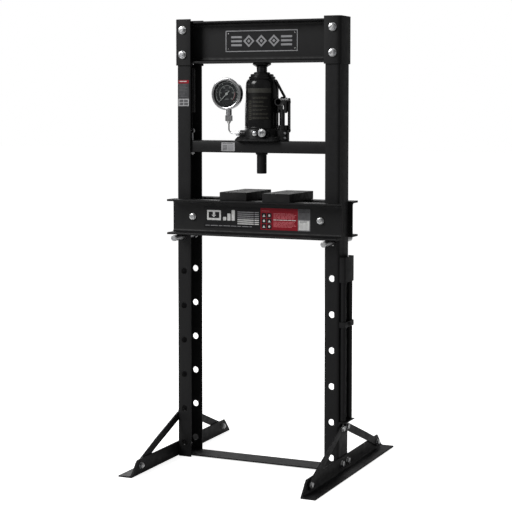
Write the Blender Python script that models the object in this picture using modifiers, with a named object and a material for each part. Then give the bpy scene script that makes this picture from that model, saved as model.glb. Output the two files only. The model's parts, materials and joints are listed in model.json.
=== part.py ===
"""Hydraulic shop press: a bolted H-frame, an adjustable bed held on two pins, and a sprung
crosshead that carries an upright bottle jack, its pump and its pressure gauge.

Metres, +Z up. X runs from the left column to the right one, -Y is the operator's side.
The origin is on the floor, midway between the columns.
"""
import math

import bmesh
import bpy
from mathutils import Matrix, Vector

GAP = 0.0003                    # clearance between neighbouring solids
WELD = 0.00001                  # merge distance for the caps of curves and turned shapes
SIDES = {"left": -1, "right": 1}

# Columns: upright channels, open towards each other
COLUMN_INNER_X = 0.247
COLUMN_WIDTH = 0.050
COLUMN_OUTER_X = COLUMN_INNER_X + COLUMN_WIDTH
COLUMN_HALF_DEPTH = 0.0465
COLUMN_WALL = 0.005
COLUMN_BEND = 0.007
COLUMN_HEIGHT = 1.506
WEB_INNER_X = COLUMN_OUTER_X - COLUMN_WALL
HOLE_X = 0.272
HOLE_RADIUS = 0.011
HOLE_PITCH = 0.1195
PIN_Z = 0.7664                  # the hole that holds the bed pins at rest
HOLES_ABOVE_PIN = 1
HOLES_BELOW_PIN = 6

# Top brackets and top beam
PRESS_HEIGHT = 1.510
BRACKET_HEIGHT = 0.157
BRACKET_WALL = 0.005
BRACKET_INNER_X = 0.2435
BRACKET_BOLT_X = 0.274
BRACKET_BOLT_Z = {"lower": 1.3895, "upper": 1.4730}
BEAM_BOTTOM = 1.360
BEAM_HEIGHT = 0.142
BEAM_HALF_WIDTH = 0.0405
BEAM_FLANGE = 0.007
BEAM_WEB = 0.006

# Feet, braces and floor tie
FOOT_HALF_LENGTH = 0.380
FOOT_LEG = 0.050
FOOT_WALL = 0.005
FOOT_SLANT = 0.045              # how far the upright leg is cut back at its top
FOOT_BOLT_Y = 0.0266
FOOT_BOLT_Z = 0.0278
BRACE_WIDTH = 0.026
BRACE_WALL = 0.005
BRACE_TOP_Y = 0.021
BRACE_TOP_Z = 0.1464
BRACE_FOOT_Y = 0.317
BRACE_FOOT_Z = 0.0285
BRACE_END = 0.0125              # bar beyond each bolt
BRACE_JOGGLE_Y = (0.045, 0.190)  # where the bar leaves the column's plane and meets the foot's
TIE_HALF_DEPTH = 0.041
TIE_BOTTOM = 0.004
TIE_WALL = 0.005

# Bolts: across flats, head height, shank radius
M14 = (0.021, 0.009, 0.0070)
M12 = (0.019, 0.0075, 0.0060)
M10 = (0.017, 0.0064, 0.0050)
HOLE_CLEARANCE = 0.0004

# Bed: two channels back to back around the columns
BED_HALF_LENGTH = 0.309
BED_WEB_Y = 0.0472              # inner face of each web
BED_WEB = 0.006
BED_FLANGE_WIDTH = 0.055
BED_FLANGE = 0.007
BED_HEIGHT = 0.120
PIN_RADIUS = 0.010
PIN_HALF_LENGTH = 0.126
BED_BOTTOM = PIN_Z + PIN_RADIUS + 2 * GAP
BED_TOP = BED_BOTTOM + BED_HEIGHT
BED_TIE_X = 0.234
BED_TIE_RADIUS = 0.011
PLATE_SIZE = (0.100, 0.210, 0.028)
PLATE_CENTRE = {"left": (-0.0675, 0.018), "right": (0.0965, 0.000)}

# Crosshead and press pin
CROSSHEAD_HALF_LENGTH = 0.290
CROSSHEAD_HALF_DEPTH = 0.038
CROSSHEAD_BOTTOM = 1.0566
CROSSHEAD_HEIGHT = 0.0400
CROSSHEAD_TOP = CROSSHEAD_BOTTOM + CROSSHEAD_HEIGHT
CROSSHEAD_WALL = 0.008
PRESS_PIN_RADIUS = 0.01675
PRESS_PIN_BOTTOM = 0.986
PRESS_PIN_COLLAR = 0.0207
SPRING_X = 0.262
SPRING_RADIUS = 0.0110
SPRING_WIRE = 0.0011
SPRING_TOP = BEAM_BOTTOM - 0.001
SPRING_BOTTOM = 1.139
SPRING_TURNS = 16
EYEBOLT_RADIUS = 0.0040

# Bottle jack
JACK_BASE_SIZE = (0.150, 0.130)
JACK_FOOT_HEIGHT = 0.015
CASTING_RADIUS = 0.0645
CASTING_TOP = 1.1397
RIB_WALL = 0.007
VALVE_BOSS_Y = 0.0635           # how far the valve's and the pipe's bosses reach from the axis
PIPE_BOSS_X = 0.061
PLUG_BOSS_Y = 0.066
PLUG_BOSS_X = 0.0035
PLUG_BOSS_Z = 1.1225
RESERVOIR_RADIUS = 0.0570
RESERVOIR_WALL = 0.003
SHOULDER_Z = 1.285
NECK_RADIUS = 0.0455
NECK_Z = 1.3055
CYLINDER_OUTER = 0.034
CYLINDER_BORE = 0.0260
CYLINDER_TOP = 1.3090
RAM_RADIUS = 0.0178
PISTON_RADIUS = 0.0254
PISTON_BOTTOM = 1.1412
PISTON_TOP = 1.1582
RAM_TOP = 1.3450
SADDLE_BOTTOM = RAM_TOP + GAP
SADDLE_TOP = BEAM_BOTTOM - GAP

# Hand pump beside the jack
PUMP_X = 0.0756
PUMP_BOSS_RADIUS = 0.0215
PUMP_BOSS_TOP = 1.134
BARREL_TOP = 1.150
BARREL_RADIUS = 0.0138
PLUNGER_RADIUS = 0.0085
PLUNGER_BOTTOM = 1.116
PLUNGER_TOP = 1.204
SOCKET_Z = 1.228
SOCKET_RADIUS = 0.0125
SOCKET_BORE = 0.0098
SOCKET_FRONT = -0.038
SOCKET_BACK = 0.029
FULCRUM_Y = 0.024
LINK_WALL = 0.004
LINK_INNER = 0.0131             # from the pump's axis to the inner face of each link
LINK_PIN_RADIUS = 0.004
LINK_FRONT = 0.0145
LINK_BACK = 0.0305
LINK_FOOT_Z = 1.1330
EAR_TOP = 1.150
STAY_PIN_Y = 0.0375
STAY_PIN_Z = 1.2400
STAY_WIDTH = 0.0086
STAY_WALL = 0.0055
VALVE_X = 0.030
VALVE_Z = 1.125
VALVE_RADIUS = 0.0065

# Pressure gauge, on a bent pipe from the left of the jack's base
GAUGE_X = -0.1054
GAUGE_Z = 1.2555
GAUGE_RADIUS = 0.0543
GAUGE_FRONT = -0.0625
GAUGE_BACK = -0.0300
GAUGE_CASE_RADIUS = 0.0515
DIAL_RADIUS = 0.0472
PIPE_Y = -0.037
PIPE_Z = 1.1230
PIPE_RADIUS = 0.0027
PIPE_BEND = 0.014

# Pump handle halves, stored on the right column
HANDLE_RADIUS = 0.009
HANDLE_Y = 0.031
HANDLE_X = COLUMN_OUTER_X + 2 * GAP + HANDLE_RADIUS
HANDLE_BOTTOM = 0.1718
HANDLE_TOP = 0.712
HOLDER_OUTER_X = 0.318
HOLDER_HALF_DEPTH = 0.0430
HOLDER_WALL = 0.002
HOLDER_BOTTOM = 0.634
HOLDER_TOP = 0.718

FINE = 48                       # facets round large turned pieces
ROUND = 24                      # facets round rods and pins
HOLE_FACETS = 18                # facets round drilled holes


# ---------------------------------------------------------------- scene and materials

def clear_scene():
    for obj in list(bpy.data.objects):
        bpy.data.objects.remove(obj, do_unlink=True)


def make_collection(name):
    collection = bpy.data.collections.new(name)
    bpy.context.scene.collection.children.link(collection)
    return collection


def principled(name, color, roughness, metallic):
    material = bpy.data.materials.new(name)
    material.use_nodes = True
    shader = material.node_tree.nodes["Principled BSDF"]
    shader.inputs["Base Color"].default_value = (*color, 1.0)
    shader.inputs["Roughness"].default_value = roughness
    shader.inputs["Metallic"].default_value = metallic
    return material


clear_scene()
PARTS = make_collection("hydraulic_shop_press")
CUTTERS = make_collection("cutters")
BLACK_PAINT = (0.020, 0.020, 0.021)
ZINC = (0.62, 0.63, 0.62)
STEEL = (0.45, 0.45, 0.44)
FINISHES = {
    "paint": (BLACK_PAINT, 0.42, 0.0),
    "plate": ((0.030, 0.030, 0.031), 0.50, 0.3),
    "jack": ((0.013, 0.013, 0.014), 0.30, 0.0),
    "zinc": (ZINC, 0.32, 1.0),
    "steel": (STEEL, 0.30, 1.0),
    "dark_steel": ((0.10, 0.10, 0.10), 0.35, 0.9),
    "chrome": ((0.75, 0.75, 0.75), 0.12, 1.0),
    "dial": ((0.020, 0.020, 0.022), 0.55, 0.0),
    "pointer": ((0.85, 0.85, 0.83), 0.50, 0.0),
    "lens": ((0.90, 0.93, 0.93), 0.05, 0.0),
    "rubber": ((0.03, 0.03, 0.03), 0.70, 0.0),
}


# ---------------------------------------------------------------- shape helpers

def link_object(obj, collection):
    for owner in list(obj.users_collection):
        owner.objects.unlink(obj)
    collection.objects.link(obj)


def finish(obj, name, finish_name):
    """Name a part, give it its own material and shade its round faces smooth."""
    obj.name = name
    obj.data.materials.clear()
    obj.data.materials.append(principled(name, *FINISHES[finish_name]))
    link_object(obj, PARTS)
    obj.data.shade_smooth()
    obj.data.set_sharp_from_angle(angle=math.radians(32))
    return obj


def as_mesh(obj, weld=0.0):
    """Replace an object by the mesh its modifiers or curve give, in place."""
    bpy.context.view_layer.update()
    depsgraph = bpy.context.evaluated_depsgraph_get()
    mesh = bpy.data.meshes.new_from_object(obj.evaluated_get(depsgraph))
    if weld > 0.0:
        bm = bmesh.new()
        bm.from_mesh(mesh)
        bmesh.ops.remove_doubles(bm, verts=bm.verts, dist=weld)
        bm.to_mesh(mesh)
        bm.free()
    solid = bpy.data.objects.new("solid", mesh)
    solid.matrix_world = obj.matrix_world
    PARTS.objects.link(solid)
    bpy.data.objects.remove(obj, do_unlink=True)
    return solid


def rounded(corners, steps=3):
    """Outline points from (x, y, radius) corners, each radius drawn as an arc."""
    points = []
    count = len(corners)
    for index, (x, y, radius) in enumerate(corners):
        corner = Vector((x, y))
        if radius <= 0.0:
            points.append(corner)
            continue
        before = (Vector(corners[index - 1][:2]) - corner).normalized()
        after = (Vector(corners[(index + 1) % count][:2]) - corner).normalized()
        half = before.angle(after) / 2
        reach = radius / math.tan(half)
        centre = corner + (before + after).normalized() * (radius / math.sin(half))
        start = corner + before * reach - centre
        end = corner + after * reach - centre
        turn = start.angle_signed(end)
        for step in range(steps + 1):
            points.append(centre + Matrix.Rotation(-turn * step / steps, 2) @ start)
    return points


ORIENTATION = {
    "X": (math.pi / 2, 0.0, math.pi / 2),    # outline x -> Y, y -> Z
    "Y": (math.pi / 2, 0.0, 0.0),            # outline x -> X, y -> Z
    "Z": (0.0, 0.0, 0.0),                    # outline x -> X, y -> Y
}


def extrusion(outlines, axis, start, end):
    """A flat outline, with any holes as further outlines, run along an axis."""
    curve = bpy.data.curves.new("outline", "CURVE")
    curve.dimensions = "2D"
    curve.fill_mode = "BOTH"
    curve.extrude = abs(end - start) / 2
    for outline in outlines:
        spline = curve.splines.new("POLY")
        spline.points.add(len(outline) - 1)
        for point, place in zip(spline.points, outline):
            point.co = (place[0], place[1], 0.0, 1.0)
        spline.use_cyclic_u = True
    obj = bpy.data.objects.new("extrusion", curve)
    bpy.context.scene.collection.objects.link(obj)
    obj.rotation_euler = ORIENTATION[axis]
    obj.location = Vector([(start + end) / 2 if axis == name else 0.0 for name in "XYZ"])
    return as_mesh(obj, WELD)


def bm_object(bm, location=(0, 0, 0), rotation=(0, 0, 0)):
    mesh = bpy.data.meshes.new("solid")
    bm.to_mesh(mesh)
    bm.free()
    obj = bpy.data.objects.new("solid", mesh)
    obj.location = location
    obj.rotation_euler = rotation
    PARTS.objects.link(obj)
    return obj


def box(low, high):
    bm = bmesh.new()
    bmesh.ops.create_cube(bm, size=1.0)
    size = [high[i] - low[i] for i in range(3)]
    centre = [(high[i] + low[i]) / 2 for i in range(3)]
    bmesh.ops.scale(bm, vec=size, verts=bm.verts)
    return bm_object(bm, centre)


def rod(radius, start, end, segments=ROUND, end_radius=None):
    """A round bar between two points; end_radius makes it a cone."""
    start = Vector(start)
    end = Vector(end)
    bm = bmesh.new()
    bmesh.ops.create_cone(bm, cap_ends=True, segments=segments, radius1=radius,
                          radius2=radius if end_radius is None else end_radius,
                          depth=(end - start).length)
    turn = (end - start).to_track_quat("Z", "Y").to_euler()
    return bm_object(bm, (start + end) / 2, turn)


def turned(profile, segments=FINE, hollow=False, axis_origin=(0, 0, 0), rotation=(0, 0, 0)):
    """A profile of (radius, height) points, top to bottom, turned about its Z axis.

    A solid profile starts and ends on the axis; a hollow one is a closed loop."""
    mesh = bpy.data.meshes.new("profile")
    vertices = [(radius, 0.0, height) for radius, height in profile]
    edges = [(i, i + 1) for i in range(len(profile) - 1)]
    if hollow:
        edges.append((len(profile) - 1, 0))
    mesh.from_pydata(vertices, edges, [])
    obj = bpy.data.objects.new("turned", mesh)
    bpy.context.scene.collection.objects.link(obj)
    screw = obj.modifiers.new("turn", "SCREW")
    screw.steps = segments
    screw.render_steps = segments
    screw.use_merge_vertices = True
    screw.merge_threshold = 0.00001
    obj.location = axis_origin
    obj.rotation_euler = rotation
    return as_mesh(obj, WELD)


def boolean(target, tools, operation):
    """Cut tools out of a solid, or join them to it, and keep the result as a mesh."""
    for tool in tools:
        modifier = target.modifiers.new(operation.lower(), "BOOLEAN")
        modifier.operation = operation
        modifier.solver = "EXACT"
        modifier.object = tool
        link_object(tool, CUTTERS)
        tool.hide_render = True
        tool.display_type = "WIRE"
    solid = as_mesh(target)
    for tool in tools:
        bpy.data.objects.remove(tool, do_unlink=True)
    return solid


def cut(target, *tools):
    return boolean(target, tools, "DIFFERENCE")


def join(target, *tools):
    return boolean(target, tools, "UNION")


def channel_section(open_x, back_x, half_depth, wall, bend):
    """Section of a channel whose web is at back_x and whose flanges end at open_x."""
    side = 1 if back_x > open_x else -1
    tip = 0.0008
    web = back_x - side * wall
    inner = half_depth - wall
    inner_bend = max(bend - wall, 0.0015)
    return rounded([
        (open_x, -half_depth, tip), (back_x, -half_depth, bend),
        (back_x, half_depth, bend), (open_x, half_depth, tip),
        (open_x, inner, tip), (web, inner, inner_bend),
        (web, -inner, inner_bend), (open_x, -inner, tip),
    ])


def rounded_rectangle(half_x, half_y, radius, centre=(0.0, 0.0)):
    cx, cy = centre
    return rounded([
        (cx - half_x, cy - half_y, radius), (cx + half_x, cy - half_y, radius),
        (cx + half_x, cy + half_y, radius), (cx - half_x, cy + half_y, radius),
    ])


def set_origin(obj, place):
    """Move an object's origin to a place on its joint's axis, leaving its shape where it is."""
    bpy.context.view_layer.update()
    obj.data.transform(Matrix.Translation(-Vector(place)) @ obj.matrix_world)
    obj.matrix_world = Matrix.Translation(Vector(place))


# ---------------------------------------------------------------- bolts

def hexagon(across_flats, low, high):
    """A hexagon prism along Z with eased edges."""
    bm = bmesh.new()
    radius = across_flats / math.sqrt(3)
    bmesh.ops.create_cone(bm, cap_ends=True, segments=6, radius1=radius, radius2=radius,
                          depth=high - low)
    rims = [e for e in bm.edges if abs(e.verts[0].co.z - e.verts[1].co.z) < 1e-6]
    bmesh.ops.bevel(bm, geom=rims, offset=0.0009, segments=1, affect="EDGES")
    return bm_object(bm, (0, 0, (low + high) / 2))


def bolt_mesh(size, grip):
    """Bolt and nut: the head stands above Z = 0, the shank runs down through the grip."""
    across, head, radius = size
    nut = head * 1.1
    solid = join(hexagon(across, 0.0, head),
                 rod(radius, (0, 0, -grip - nut - 0.004), (0, 0, head / 2), 16),
                 hexagon(across, -grip - nut, -grip))
    set_origin(solid, (0, 0, 0))
    mesh = solid.data
    bpy.data.objects.remove(solid, do_unlink=True)
    return mesh


def place_bolt(name, mesh, head_place, direction):
    """Put a bolt with the underside of its head at head_place and its head facing direction."""
    obj = bpy.data.objects.new(name, mesh.copy())
    obj.location = head_place
    obj.rotation_euler = Vector(direction).to_track_quat("Z", "Y").to_euler()
    PARTS.objects.link(obj)
    return finish(obj, name, "zinc")


# ---------------------------------------------------------------- frame

def hole_heights():
    return [PIN_Z + step * HOLE_PITCH for step in range(-HOLES_BELOW_PIN, HOLES_ABOVE_PIN + 1)]


def along_y(radius, x, z, reach=0.08):
    return rod(radius, (x, -reach, z), (x, reach, z), HOLE_FACETS)


def along_x(radius, side, y, z):
    return rod(radius, (side * 0.28, y, z), (side * 0.33, y, z), 12)


def build_column(name, side):
    section = channel_section(side * COLUMN_INNER_X, side * COLUMN_OUTER_X,
                              COLUMN_HALF_DEPTH, COLUMN_WALL, COLUMN_BEND)
    column = extrusion([section], "Z", 0.0, COLUMN_HEIGHT)
    cutters = [along_y(HOLE_RADIUS, side * HOLE_X, z) for z in hole_heights()]
    cutters += [along_y(M14[2] + HOLE_CLEARANCE, side * BRACKET_BOLT_X, z)
                for z in BRACKET_BOLT_Z.values()]
    for direction in (-1, 1):
        cutters.append(along_x(M10[2] + HOLE_CLEARANCE, side, direction * BRACE_TOP_Y, BRACE_TOP_Z))
        cutters.append(along_x(M12[2] + HOLE_CLEARANCE, side, direction * FOOT_BOLT_Y, FOOT_BOLT_Z))
    return finish(cut(column, *cutters), name + "_column", "paint")


def build_top_bracket(name, side):
    outer_x = COLUMN_OUTER_X + GAP + BRACKET_WALL
    half_depth = COLUMN_HALF_DEPTH + GAP + BRACKET_WALL
    section = channel_section(side * BRACKET_INNER_X, side * outer_x, half_depth,
                              BRACKET_WALL, COLUMN_BEND + BRACKET_WALL)
    bracket = extrusion([section], "Z", PRESS_HEIGHT - BRACKET_HEIGHT, PRESS_HEIGHT)
    holes = [along_y(M14[2] + HOLE_CLEARANCE, side * BRACKET_BOLT_X, z)
             for z in BRACKET_BOLT_Z.values()]
    return finish(cut(bracket, *holes), name + "_top_bracket", "paint")


def build_top_beam():
    half_height = BEAM_HEIGHT / 2
    middle = BEAM_BOTTOM + half_height
    half_web = BEAM_WEB / 2
    flange = half_height - BEAM_FLANGE
    tip = 0.0015
    fillet = 0.009
    quarter = [(BEAM_HALF_WIDTH, half_height, tip), (BEAM_HALF_WIDTH, flange + 0.0004, tip),
               (half_web, flange - 0.0006, fillet)]
    corners = []
    for sign_y, sign_z in ((1, 1), (1, -1), (-1, -1), (-1, 1)):
        piece = [(sign_y * y, middle + sign_z * z, r) for y, z, r in quarter]
        corners += piece if sign_y * sign_z > 0 else piece[::-1]
    beam = extrusion([rounded(corners)], "X", -WEB_INNER_X + 2 * GAP, WEB_INNER_X - 2 * GAP)
    holes = [along_y(M14[2] + HOLE_CLEARANCE, side * BRACKET_BOLT_X, z)
             for side in SIDES.values() for z in BRACKET_BOLT_Z.values()]
    return finish(cut(beam, *holes), "top_beam", "paint")


def build_bracket_bolts(name, side):
    face = COLUMN_HALF_DEPTH + 2 * GAP + BRACKET_WALL
    mesh = bolt_mesh(M14, 2 * face)
    for level, z in BRACKET_BOLT_Z.items():
        place_bolt(f"{name}_bracket_bolt_{level}", mesh,
                   (side * BRACKET_BOLT_X, -face, z), (0, -1, 0))


def build_foot(name, side):
    inner = COLUMN_OUTER_X + GAP
    leg = rounded([
        (side * inner, 0.0, 0.0015), (side * (inner + FOOT_LEG), 0.0, 0.001),
        (side * (inner + FOOT_LEG), FOOT_WALL, 0.002),
        (side * (inner + FOOT_WALL), FOOT_WALL, 0.006),
        (side * (inner + FOOT_WALL), FOOT_LEG, 0.002), (side * inner, FOOT_LEG, 0.001),
    ])
    foot = extrusion([leg], "Y", -FOOT_HALF_LENGTH, FOOT_HALF_LENGTH)
    cutters = []
    for direction in (-1, 1):
        end_y = direction * FOOT_HALF_LENGTH
        wedge = [(end_y + direction * 0.01, FOOT_WALL - 0.01 * FOOT_LEG / FOOT_SLANT),
                 (end_y + direction * 0.01, FOOT_LEG + 0.02),
                 (end_y - direction * (FOOT_SLANT + 0.018), FOOT_LEG + 0.02)]
        cutters.append(extrusion([wedge], "X", side * (inner - 0.01),
                                 side * (inner + FOOT_WALL + 0.007)))
        cutters.append(along_x(M10[2] + HOLE_CLEARANCE, side, direction * BRACE_FOOT_Y, BRACE_FOOT_Z))
        cutters.append(along_x(M12[2] + HOLE_CLEARANCE, side, direction * FOOT_BOLT_Y, FOOT_BOLT_Z))
    return finish(cut(foot, *cutters), name + "_foot", "paint")


def build_brace(name, side, direction):
    """A flat bar from the column web down to the end of the foot, joggled outwards on the way
    so that both its ends lie flat, with a bolt through each end."""
    top = Vector((BRACE_TOP_Y, BRACE_TOP_Z))
    foot = Vector((BRACE_FOOT_Y, BRACE_FOOT_Z))
    run = (foot - top).normalized()
    length = (foot - top).length
    half_bar = BRACE_WIDTH / 2
    bar = rounded([(-BRACE_END, -half_bar, 0.004), (length + BRACE_END, -half_bar, 0.004),
                   (length + BRACE_END, half_bar, 0.004), (-BRACE_END, half_bar, 0.004)])
    outline = []
    for point in bar:
        place = top + run * point.x + Vector((-run.y, run.x)) * point.y
        outline.append((direction * place.x, place.y))
    x_top = COLUMN_OUTER_X + 2 * GAP
    x_foot = COLUMN_OUTER_X + FOOT_WALL + 3 * GAP
    inner_face = [(x_top, 0.0), (x_top, BRACE_JOGGLE_Y[0]), (x_foot, BRACE_JOGGLE_Y[1]),
                  (x_foot, FOOT_HALF_LENGTH)]
    plan = [(side * x, direction * y) for x, y in inner_face]
    plan += [(side * (x + BRACE_WALL), direction * y) for x, y in reversed(inner_face)]
    brace = extrusion([outline], "X", side * (x_top - 0.01), side * (x_foot + BRACE_WALL + 0.01))
    brace = boolean(brace, [extrusion([plan], "Z", -0.01, BRACE_TOP_Z + 0.05)], "INTERSECT")
    end = "front" if direction < 0 else "rear"
    brace = cut(brace, *[along_x(M10[2] + HOLE_CLEARANCE, side, direction * y, z)
                         for y, z in (top, foot)])
    finish(brace, f"{name}_{end}_brace", "paint")
    for level, x, y, z, wall in (("upper", x_top, BRACE_TOP_Y, BRACE_TOP_Z, COLUMN_WALL),
                                 ("lower", x_foot, BRACE_FOOT_Y, BRACE_FOOT_Z, FOOT_WALL)):
        place_bolt(f"{name}_{end}_brace_{level}_bolt", bolt_mesh(M10, wall + BRACE_WALL + 4 * GAP),
                   (side * (x + BRACE_WALL + GAP), direction * y, z), (side, 0, 0))


def build_floor_tie():
    reach = WEB_INNER_X - 2 * GAP
    outline = rounded_rectangle(reach, TIE_HALF_DEPTH, 0.003)
    tie = extrusion([outline], "Z", TIE_BOTTOM, TIE_BOTTOM + TIE_WALL)
    return finish(tie, "floor_tie", "paint")


def build_frame():
    for name, side in SIDES.items():
        build_column(name, side)
        build_top_bracket(name, side)
        build_bracket_bolts(name, side)
        build_foot(name, side)
        for direction in (-1, 1):
            build_brace(name, side, direction)
    build_top_beam()
    build_floor_tie()


# ---------------------------------------------------------------- bed

def build_bed_channel(name, direction):
    web = BED_WEB_Y
    tip = web + BED_FLANGE_WIDTH
    inner = web + BED_WEB
    top = BED_TOP - BED_FLANGE
    bottom = BED_BOTTOM + BED_FLANGE
    corners = [(web, BED_BOTTOM, 0.002), (tip, BED_BOTTOM, 0.001), (tip, bottom, 0.003),
               (inner, bottom, 0.009), (inner, top, 0.009), (tip, top, 0.003),
               (tip, BED_TOP, 0.001), (web, BED_TOP, 0.002)]
    outline = rounded([(direction * y, z, radius) for y, z, radius in corners])
    channel = extrusion([outline], "X", -BED_HALF_LENGTH, BED_HALF_LENGTH)
    middle = (BED_TOP + BED_BOTTOM) / 2
    holes = [along_y(M10[2] + HOLE_CLEARANCE, side * BED_TIE_X, middle) for side in SIDES.values()]
    return finish(cut(channel, *holes), name, "paint")


def build_bed_tie_bolt(name, side):
    """Bolt through both webs with the spacer tube that holds them apart."""
    middle = (BED_TOP + BED_BOTTOM) / 2
    x = side * BED_TIE_X
    face = BED_WEB_Y + BED_WEB + GAP
    across, head, radius = M12[0], M12[1], M10[2]
    head_hex = hexagon(across, face, face + head)
    nut_hex = hexagon(across, -face - head, -face)
    for piece in (head_hex, nut_hex):
        piece.data.transform(Matrix.Translation(piece.location))
        piece.location = (x, 0, middle)
        piece.rotation_euler = (math.pi / 2, 0, 0)
    shank = rod(radius, (x, -face - head / 2, middle), (x, face + head + 0.005, middle), 16)
    spacer = rod(BED_TIE_RADIUS, (x, -BED_WEB_Y + GAP, middle), (x, BED_WEB_Y - GAP, middle))
    bolt = join(shank, spacer, head_hex, nut_hex)
    return finish(bolt, name + "_bed_tie_bolt", "zinc")


def build_bed_pin(name, side):
    chamfer = 0.0015
    length = PIN_HALF_LENGTH
    pin = turned([(0, length), (PIN_RADIUS - chamfer, length), (PIN_RADIUS, length - chamfer),
                  (PIN_RADIUS, chamfer - length), (PIN_RADIUS - chamfer, -length), (0, -length)],
                 ROUND, axis_origin=(side * HOLE_X, 0, PIN_Z), rotation=(math.pi / 2, 0, 0))
    return finish(pin, name + "_bed_pin", "zinc")


def build_press_plate(name):
    x, y = PLATE_CENTRE[name]
    half_x, half_y, height = PLATE_SIZE[0] / 2, PLATE_SIZE[1] / 2, PLATE_SIZE[2]
    outline = rounded_rectangle(half_x, half_y, 0.002, (x, y))
    plate = extrusion([outline], "Z", BED_TOP + GAP, BED_TOP + GAP + height)
    return finish(plate, name + "_press_plate", "plate")


def build_bed():
    build_bed_channel("bed_front_channel", -1)
    build_bed_channel("bed_rear_channel", 1)
    for name, side in SIDES.items():
        build_bed_tie_bolt(name, side)
        build_bed_pin(name, side)
        build_press_plate(name)


# ---------------------------------------------------------------- crosshead and springs

def build_crosshead():
    middle = CROSSHEAD_BOTTOM + CROSSHEAD_HEIGHT / 2
    half_height = CROSSHEAD_HEIGHT / 2
    outer = rounded_rectangle(CROSSHEAD_HALF_DEPTH, half_height, 0.004, (0, middle))
    inner = rounded_rectangle(CROSSHEAD_HALF_DEPTH - CROSSHEAD_WALL,
                              half_height - CROSSHEAD_WALL, 0.002, (0, middle))
    bar = extrusion([outer, inner], "X", -CROSSHEAD_HALF_LENGTH, CROSSHEAD_HALF_LENGTH)
    holes = [rod(EYEBOLT_RADIUS + HOLE_CLEARANCE, (side * SPRING_X, 0, CROSSHEAD_BOTTOM - 0.01),
                 (side * SPRING_X, 0, CROSSHEAD_TOP + 0.01), 16) for side in SIDES.values()]
    return finish(cut(bar, *holes), "crosshead", "paint")


def build_press_pin():
    top = CROSSHEAD_BOTTOM - GAP
    radius = PRESS_PIN_RADIUS
    pin = turned([(0, top), (PRESS_PIN_COLLAR, top), (PRESS_PIN_COLLAR, top - 0.005),
                  (radius, top - 0.007), (radius, PRESS_PIN_BOTTOM + 0.0015),
                  (radius - 0.0015, PRESS_PIN_BOTTOM), (0, PRESS_PIN_BOTTOM)], 32)
    return finish(pin, "press_pin", "dark_steel")


def build_spring(name, side):
    """An open coil between the top beam and the eyebolt, drawn with its ends on its axis."""
    x = side * SPRING_X
    coil_radius = SPRING_RADIUS - SPRING_WIRE
    lead = 0.006
    per_turn = 8
    points = [(x, 0.0, SPRING_TOP)]
    coil_top = SPRING_TOP - lead
    coil_height = coil_top - SPRING_BOTTOM - lead
    steps = SPRING_TURNS * per_turn
    for step in range(steps + 1):
        angle = 2 * math.pi * step / per_turn
        points.append((x + coil_radius * math.cos(angle), coil_radius * math.sin(angle),
                       coil_top - coil_height * step / steps))
    points.append((x, 0.0, SPRING_BOTTOM))
    curve = bpy.data.curves.new("coil", "CURVE")
    curve.dimensions = "3D"
    curve.bevel_depth = SPRING_WIRE
    curve.bevel_resolution = 0
    curve.use_fill_caps = True
    spline = curve.splines.new("POLY")
    spline.points.add(len(points) - 1)
    for point, place in zip(spline.points, points):
        point.co = (*place, 1.0)
    obj = bpy.data.objects.new("coil", curve)
    bpy.context.scene.collection.objects.link(obj)
    return finish(as_mesh(obj, WELD), name + "_return_spring", "dark_steel")


def build_eyebolt(name, side):
    """The spring's lower anchor: an eye above the crosshead and a nut below it."""
    x = side * SPRING_X
    eye_radius = 0.0070
    eye_z = SPRING_BOTTOM - GAP * 2 - eye_radius - 0.0028
    nut_top = CROSSHEAD_BOTTOM - GAP
    nut = hexagon(0.013, nut_top - 0.0075, nut_top)
    nut.location.x = x
    shank = rod(EYEBOLT_RADIUS, (x, 0, nut_top - 0.010), (x, 0, eye_z - eye_radius + 0.001), 16)
    bpy.ops.mesh.primitive_torus_add(major_radius=eye_radius, minor_radius=0.0028,
                                     major_segments=20, minor_segments=8,
                                     location=(x, 0, eye_z), rotation=(math.pi / 2, 0, 0))
    eye = bpy.context.object
    return finish(join(shank, nut, eye), name + "_spring_eyebolt", "zinc")


# ---------------------------------------------------------------- bottle jack

def build_base_ribs():
    """Four sloping ribs from the round casting out to the corners of its foot."""
    bottom = CROSSHEAD_TOP + GAP
    outline = [Vector((0.045, bottom + 0.006)), Vector((0.083, bottom + 0.006)),
               Vector((0.083, bottom + 0.0125)), Vector((0.0625, CASTING_TOP - 0.0065)),
               Vector((0.045, CASTING_TOP - 0.0065))]
    ribs = []
    for degrees in (41, 139, 221, 319):
        rib = extrusion([outline], "Y", -RIB_WALL / 2, RIB_WALL / 2)
        rib.data.transform(Matrix.Rotation(math.radians(degrees), 4, "Z") @ rib.matrix_world)
        rib.matrix_world = Matrix.Identity(4)
        ribs.append(rib)
    return ribs


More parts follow.
